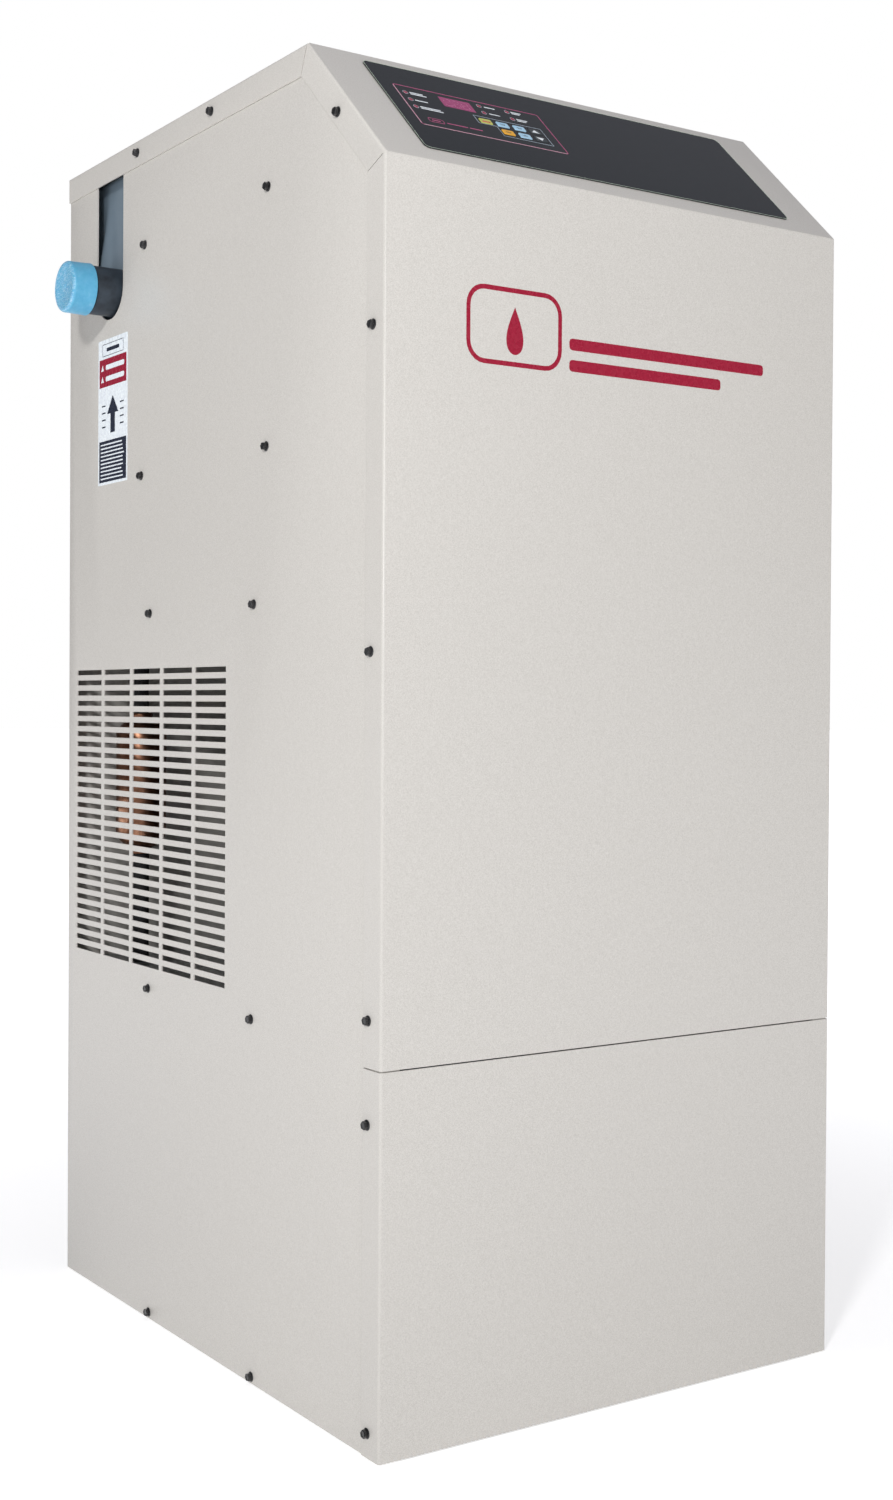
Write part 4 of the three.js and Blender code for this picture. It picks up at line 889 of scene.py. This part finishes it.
def add_overlay_print(finishes):
    def on_hood(name, bm, ink):
        add_print(name, bm, ink, finishes, HOOD_FRAME)

    low, high = OVERLAY_TOP, OVERLAY_TOP + PRINT
    # The thin pale ring round the overlay's edge is a painted highlight: light caught by the film's raised
    # edge, painted on.
    border = ring(-226.9, 226.9, 20.8, 174.9, 5.9, 0.45, low, high)
    on_hood("overlay_edge_painted_highlight", border, "edge_highlight_paint")
    outline = ring(-210, -37.5, 64.5, 137.5, 3, 1.2, low, high)
    on_hood("overlay_panel_outline", outline, "print_magenta")
    # The pale strips along the frame's left and bottom edges are a painted highlight: light on those edges,
    # painted on.
    pale = bmesh.new()
    prism(rectangle(-210, -209.1, 67, 135), high, high + TOP_PRINT, pale)
    prism(rectangle(-207.5, -40, 64.5, 65.4), high, high + TOP_PRINT, pale)
    on_hood("overlay_outline_painted_highlight", pale, "outline_highlight_paint")
    # The keypad outline steps down round the power key.
    outer = [(-131.5, 92.2), (-131.5, 106.8), (-50, 106.8), (-50, 75.4), (-110.4, 75.4), (-110.4, 92.2)]
    inner = [(-130.8, 92.9), (-130.8, 106.1), (-50.7, 106.1), (-50.7, 76.1), (-109.7, 76.1), (-109.7, 92.9)]
    on_hood("keypad_outline", prism(outer, low, high, holes=(inner,)), "print_grey")
    on_hood("overlay_rules", bars(LED_BARS, 1.7, low, high), "print_white")
    lenses, collars = bmesh.new(), bmesh.new()
    for x, s in LEDS:
        at = Matrix.Translation((x, s, low))
        lathe([(0, 0), (2.5, 0), (2.4, 0.18), (1.9, 0.34), (1.0, 0.42), (0, 0.44)], 28, lenses, at)
        lathe(collar(2.5, 3.0, 0, 0.08), 28, collars, at)
    place_piece("indicator_lenses", lenses, finishes["led_red"], place=HOOD_FRAME)
    on_hood("indicator_rings", collars, "print_grey")
    window = prism(rounded(-161, -124, 112.5, 130.5, 1.2, 4), low, high)
    on_hood("display_window", window, "display_red")
    digits = bmesh.new()
    for column in range(3):
        x = -156.5 + 10 * column
        seven_segments(digits, x, 115.6, 7.2, 12.0, high)
    on_hood("display_segments", digits, "segment_dim")
    mark = ring(-197, -179, 73.4, 81, 2.6, 0.8, low, high)
    bars([(-193, -183, 77.2), (-176, -152, 76.6), (-150, -135, 76.6)], 1.6, low, high, mark)
    on_hood("overlay_mark", mark, "print_magenta")


def seven_segments(bm, x, s, width, height, out):
    """The unlit segments of one digit, all the same."""
    line, half, gap, end_gap = 0.45, height / 2, 0.7, 0.8
    for level in (s, s + half, s + height):
        flat = rounded(x + end_gap, x + width - end_gap, level - line, level + line, 0.3, 2)
        prism(flat, out, out + TOP_PRINT, bm)
    for middle in (x, x + width):
        for foot in (s + gap, s + half + gap):
            upright = rounded(middle - line, middle + line, foot, foot + half - 2 * gap, 0.3, 2)
            prism(upright, out, out + TOP_PRINT, bm)


KEYS = {
    "key_power": ((-120.5, 98), "key_green"), "key_test": ((-100.5, 98), "key_blue"),
    "key_set": ((-80.5, 98), "key_blue"), "key_up": ((-61.5, 98), "key_grey"),
    "key_enter": ((-100.5, 84.2), "key_amber"), "key_mode": ((-80.5, 84.2), "key_blue"),
    "key_down": ((-61.5, 84.2), "key_grey"),
}


def add_keys(finishes):
    for name, ((x, s), slot) in KEYS.items():
        bm = bmesh.new()
        layers = ((0, -7.7), (0, 1.35), (0.15, 1.7), (0.5, 1.9), (1.3, 1.9), (1.9, 1.72))
        loops = []
        for inset, out in layers:
            outline = rounded(
                x - 7 + inset, x + 7 - inset, s - 4.3 + inset, s + 4.3 - inset, max(1.6 - inset, 0.4), 4,
            )
            loops.append([bm.verts.new((a, b, out)) for a, b in outline])
        for below, above in zip(loops, loops[1:]):
            for i in range(len(below)):
                j = (i + 1) % len(below)
                bm.faces.new((below[i], below[j], above[j], above[i]))
        bm.faces.new(loops[0])
        bm.faces.new(loops[-1])
        place_piece(
            name + "_dished", bm, finishes[slot], body=name,
            replaces=(name,), place=HOOD_FRAME, smooth=50,
        )
        floor, top = 1.72, 1.78
        if name == "key_power":
            lower = prism(rounded(x - 4.8, x + 4.8, s - 2.2, s - 0.1, 0.4, 3), floor, top)
            add_print("key_power_stop", lower, "print_red", finishes, HOOD_FRAME, name)
        elif name in ("key_up", "key_down"):
            tip = 2.9 if name == "key_up" else -2.9
            arrow = prism([(x - 5.0, s - tip), (x + 5.0, s - tip), (x, s + tip)], floor, top)
            add_print(name + "_arrow", arrow, "print_white", finishes, HOOD_FRAME, name)
        else:
            rules = bars([(x - 3.2, x + 3.2, s + 0.6), (x - 2.2, x + 2.2, s - 0.9)], 0.55, floor, top)
            add_print(name + "_rules", rules, "print_navy", finishes, HOOD_FRAME, name)


def add_port_label(finishes):
    """A tag under the inlet: a card with a blank box, a crimson band, an air arrow and plain rules."""
    def on_card(name, bm, ink):
        add_print(name, bm, ink, finishes, LEFT_FRAME)

    front = -FRONT / MM
    face = PANEL / MM
    left, right, low, high = front - 603, front - 525.5, 924, 1089.5
    middle = (left + right) / 2
    base, top = face + 0.12, face + 0.16
    card = prism(rounded(left, right, low, high, 1.5), face, base)
    on_card("label_card", card, "print_white")
    box = ring(left + 11, right - 11, high - 19, high - 5, 0.6, 0.7, base, top)
    bars([(left + 22, right - 22, high - 12)], 4.2, base, top, box)
    on_card("label_box", box, "print_navy")
    band = prism(rectangle(left + 3, right - 3, high - 54, high - 22), base, top)
    on_card("label_band", band, "print_crimson")
    heights = (high - 32, high - 45)
    rules = bars([(left + 20, right - 9, height) for height in heights], 5.6, top, top + TOP_PRINT)
    for height in heights:
        triangle = [(left + 7.5, height - 3.2), (left + 15, height - 3.2), (left + 11.2, height + 3.8)]
        prism(triangle, top, top + TOP_PRINT, rules)
    on_card("label_band_rules", rules, "print_white")
    arrow = bmesh.new()
    floor = low + 58
    prism([
        (middle - 6, floor), (middle + 6, floor), (middle + 6, floor + 22), (middle + 15, floor + 22),
        (middle, floor + 42), (middle - 15, floor + 22), (middle - 6, floor + 22),
    ], base, top, arrow)
    for offset in (-24, 24):
        ticks = [(middle + offset - 5, middle + offset + 5, floor + 8 * k) for k in range(1, 5)]
        bars(ticks, 1.6, base, top, arrow)
    on_card("label_arrow", arrow, "print_navy")
    block = prism(rectangle(left + 3, right - 3, low + 3, low + 50), base, top)
    on_card("label_block", block, "print_navy")
    chance = random.Random(11)
    lines = []
    for k in range(10):
        ragged = chance.uniform(0, 9)
        lines.append((left + 7, right - 7 - ragged, low + 7 + 4.3 * k))
    block_rules = bars(lines, 1.5, top, top + TOP_PRINT)
    on_card("label_block_rules", block_rules, "print_white")


def add_front_mark(finishes):
    """A generic mark on the front: a drop in a rounded frame beside two plain rules."""
    face = -FRONT / MM
    low, high = face - 0.3, face + 0.03
    centre_x, centre_z = -136.0, 1022.0
    mark = ring(centre_x - 55, centre_x + 55, centre_z - 36, centre_z + 36, 20, 4.5, low, high)
    drop = []
    for k in range(48):
        t = 2 * math.pi * k / 48
        half_width = 13.5 * math.sin(t) * math.sin(t / 2) ** 1.3
        drop.append((centre_x + half_width, centre_z - 3 + 22 * math.cos(t)))
    prism(drop, low, high, mark)
    bars([(-72, 178, 1014), (-72, 120, 994)], 11, low, high, mark)
    add_print("front_mark", mark, "print_crimson", finishes, FRONT_FRAME)


# ---------------- fittings through the rear panel

def add_gland(finishes):
    """A cord gland: locknut inside, hexagon and ribbed dome outside, round a rubber seal."""
    low, high = (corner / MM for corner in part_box("cable_gland"))
    x, z = (low.x + high.x) / 2, (low.z + high.z) / 2
    wall = REAR / MM
    place = Matrix.Translation(Vector((x, 0, z)) * MM) @ Matrix.Rotation(math.radians(-90), 4, "X")
    bm = bmesh.new()
    lathe(collar(6.5, 10, low.y, wall), 40, bm)
    lathe(collar(6.6, 13.8, wall + 0.3, wall + 1.4), 48, bm)
    radius = 13.9
    lathe([
        (6.6, wall + 1.4), (radius - 0.8, wall + 1.4), (radius, wall + 2.2), (radius, wall + 8.2),
        (radius - 0.8, wall + 9), (6.6, wall + 9), (6.6, wall + 1.4),
    ], 6, bm)
    dome = [(6.6, wall + 9), (11.8, wall + 9), (12.2, wall + 10), (12.2, wall + 18), (11.6, wall + 21)]
    for k in range(1, 6):
        angle = math.radians(18 * k)
        dome.append((11.6 - 4.4 * (1 - math.cos(angle)), wall + 21 + 4.6 * math.sin(angle)))
    dome += [(6.6, high.y - 0.3), (6.6, wall + 9)]
    lathe(dome, 48, bm)
    for k in range(16):
        turn = Matrix.Rotation(2 * math.pi * k / 16, 4, "Z")
        start = len(bm.verts)
        prism(rounded(11.9, 13.1, -0.9, 0.9, 0.5, 3), wall + 10, wall + 18.5, bm)
        bm.verts.ensure_lookup_table()
        bmesh.ops.transform(bm, matrix=turn, verts=bm.verts[start:])
    place_piece(
        "cable_gland_domed", bm, finishes["grey_plastic"],
        replaces=("cable_gland",), place=place,
    )
    seal = lathe([
        (4.6, wall + 6), (6.7, wall + 6), (6.7, high.y - 1.4), (5.6, high.y - 0.8),
        (4.6, high.y - 1.4), (4.6, wall + 6),
    ], 40)
    place_piece("cable_gland_seal", seal, finishes["mount_rubber"], place=place)


def add_bulkhead(finishes):
    """Brass bulkhead for the condensate: locknut, flange, threaded spigot and a through bore."""
    low, high = (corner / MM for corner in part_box("drain_bulkhead"))
    x, z = (low.x + high.x) / 2, (low.z + high.z) / 2
    wall = REAR / MM
    place = Matrix.Translation(Vector((x, 0, z)) * MM) @ Matrix.Rotation(math.radians(-90), 4, "X")
    profile = [(2.8, low.y), (7.3, low.y), (7.3, wall + 0.3)]
    profile += [(9.6, wall + 0.3), (9.6, wall + 1.2), (7.4, wall + 1.2)]
    pitch, depth = 1.3, 0.5
    start = wall + 5.4
    turns = int((high.y - 1 - start) / pitch)
    profile.append((7.4, start - 0.6))
    for k in range(turns):
        profile += [(7.4 - depth, start + pitch * k), (7.4, start + pitch * (k + 0.5))]
    profile += [(6.7, high.y), (3.4, high.y), (2.8, high.y - 0.6), (2.8, low.y)]
    bm = lathe(profile, 48)
    radius = 9.8
    lathe([
        (7.1, wall + 1.2), (radius - 0.6, wall + 1.2), (radius, wall + 1.8), (radius, wall + 3.8),
        (radius - 0.6, wall + 4.4), (7.1, wall + 4.4), (7.1, wall + 1.2),
    ], 6, bm)
    place_piece(
        "drain_bulkhead_threaded", bm, finishes["brass_fitting"],
        replaces=("drain_bulkhead",), place=place,
    )


# ---------------- the whole

def all_finishes():
    return {
        "cabinet_paint": paint(),
        "galvanised_steel": galvanised(),
        "black_steel": pipe_steel(),
        "insulation_jacket": jacket(),
        "pipe_foam": foam(),
        "blue_plastic": cap_plastic(),
        "mount_rubber": plastic("moulded_rubber", (0.012, 0.012, 0.013), (0.030, 0.030, 0.032), (0.6, 0.8)),
        "grey_plastic": plastic("grey_nylon", (0.23, 0.24, 0.25), (0.29, 0.30, 0.31)),
        "coil_fins": bright_metal("fin_stock", (0.20, 0.25, 0.32), (0.30, 0.48), (1, 1, 12)),
        "shaft_steel": bright_metal("ground_steel", (0.60, 0.60, 0.61), (0.18, 0.32), (8, 1, 1)),
        "fan_aluminium": bright_metal("pressed_aluminium", (0.72, 0.73, 0.75), (0.28, 0.46), (1, 6, 1)),
        "copper": copper(),
        "brass_fitting": brass(),
        "lever_steel": bright_metal("zinc_plate", (0.58, 0.56, 0.50), (0.30, 0.46), (1, 1, 6)),
        "overlay_black": film("overlay_film", (0.005, 0.008, 0.011), (0.16, 0.22), 0.13),
        "key_green": plastic("key_yellow_green", (0.50, 0.52, 0.10), (0.58, 0.60, 0.16)),
        "key_blue": plastic("key_pale_blue", (0.36, 0.60, 0.80), (0.44, 0.67, 0.85)),
        "key_grey": plastic("key_dark", (0.020, 0.028, 0.034), (0.035, 0.045, 0.052)),
        "key_amber": plastic("key_orange", (0.80, 0.38, 0.02), (0.90, 0.48, 0.05)),
        "circuit_board": film("solder_mask", (0.010, 0.10, 0.035), (0.3, 0.45)),
        "display_red": film("display_filter", (0.34, 0.026, 0.14), (0.10, 0.18)),
        "screw": gloss_black("screw_black_oxide", (0.010, 0.010, 0.011), (0.22, 0.36)),
        "led_red": film("indicator_lens", (0.30, 0.020, 0.055), (0.12, 0.2)),
        "segment_dim": film("unlit_segment", (0.40, 0.050, 0.19)),
        # Pale colour of the painted highlight round the overlay's edge, not an ink.
        "edge_highlight_paint": film("painted_edge_highlight", (0.62, 0.72, 0.58)),
        "print_magenta": film("ink_magenta", (0.44, 0.060, 0.18)),
        # Pale pink of the painted highlight on the frame's edges, not an ink.
        "outline_highlight_paint": film("painted_outline_highlight", (0.70, 0.42, 0.50)),
        "print_grey": film("ink_grey", (0.36, 0.43, 0.50)),
        "print_white": film("ink_white", (0.80, 0.85, 0.91)),
        "print_navy": film("ink_navy", (0.014, 0.020, 0.040)),
        "print_crimson": film("ink_crimson", (0.30, 0.010, 0.034)),
        "print_red": film("ink_red", (0.62, 0.030, 0.035)),
    }


def main():
    add_camera()
    add_studio()
    finishes = all_finishes()
    dress_cad(finishes)
    for side, hand in (("inlet", -1), ("outlet", 1)):
        add_port(side, hand, finishes)
    add_jacket(finishes)
    add_vessel("evaporator", finishes["insulation_jacket"])
    add_vessel("moisture_separator", finishes["black_steel"])
    add_spun_vessel("suction_accumulator", finishes["copper"], 12.5)
    add_spun_vessel("filter_drier", finishes["copper"], 9.5)
    add_coil(finishes)
    add_impeller(finishes)
    add_all_screws(finishes)
    add_overlay_print(finishes)
    add_keys(finishes)
    add_port_label(finishes)
    add_front_mark(finishes)
    add_gland(finishes)
    add_bulkhead(finishes)


main()
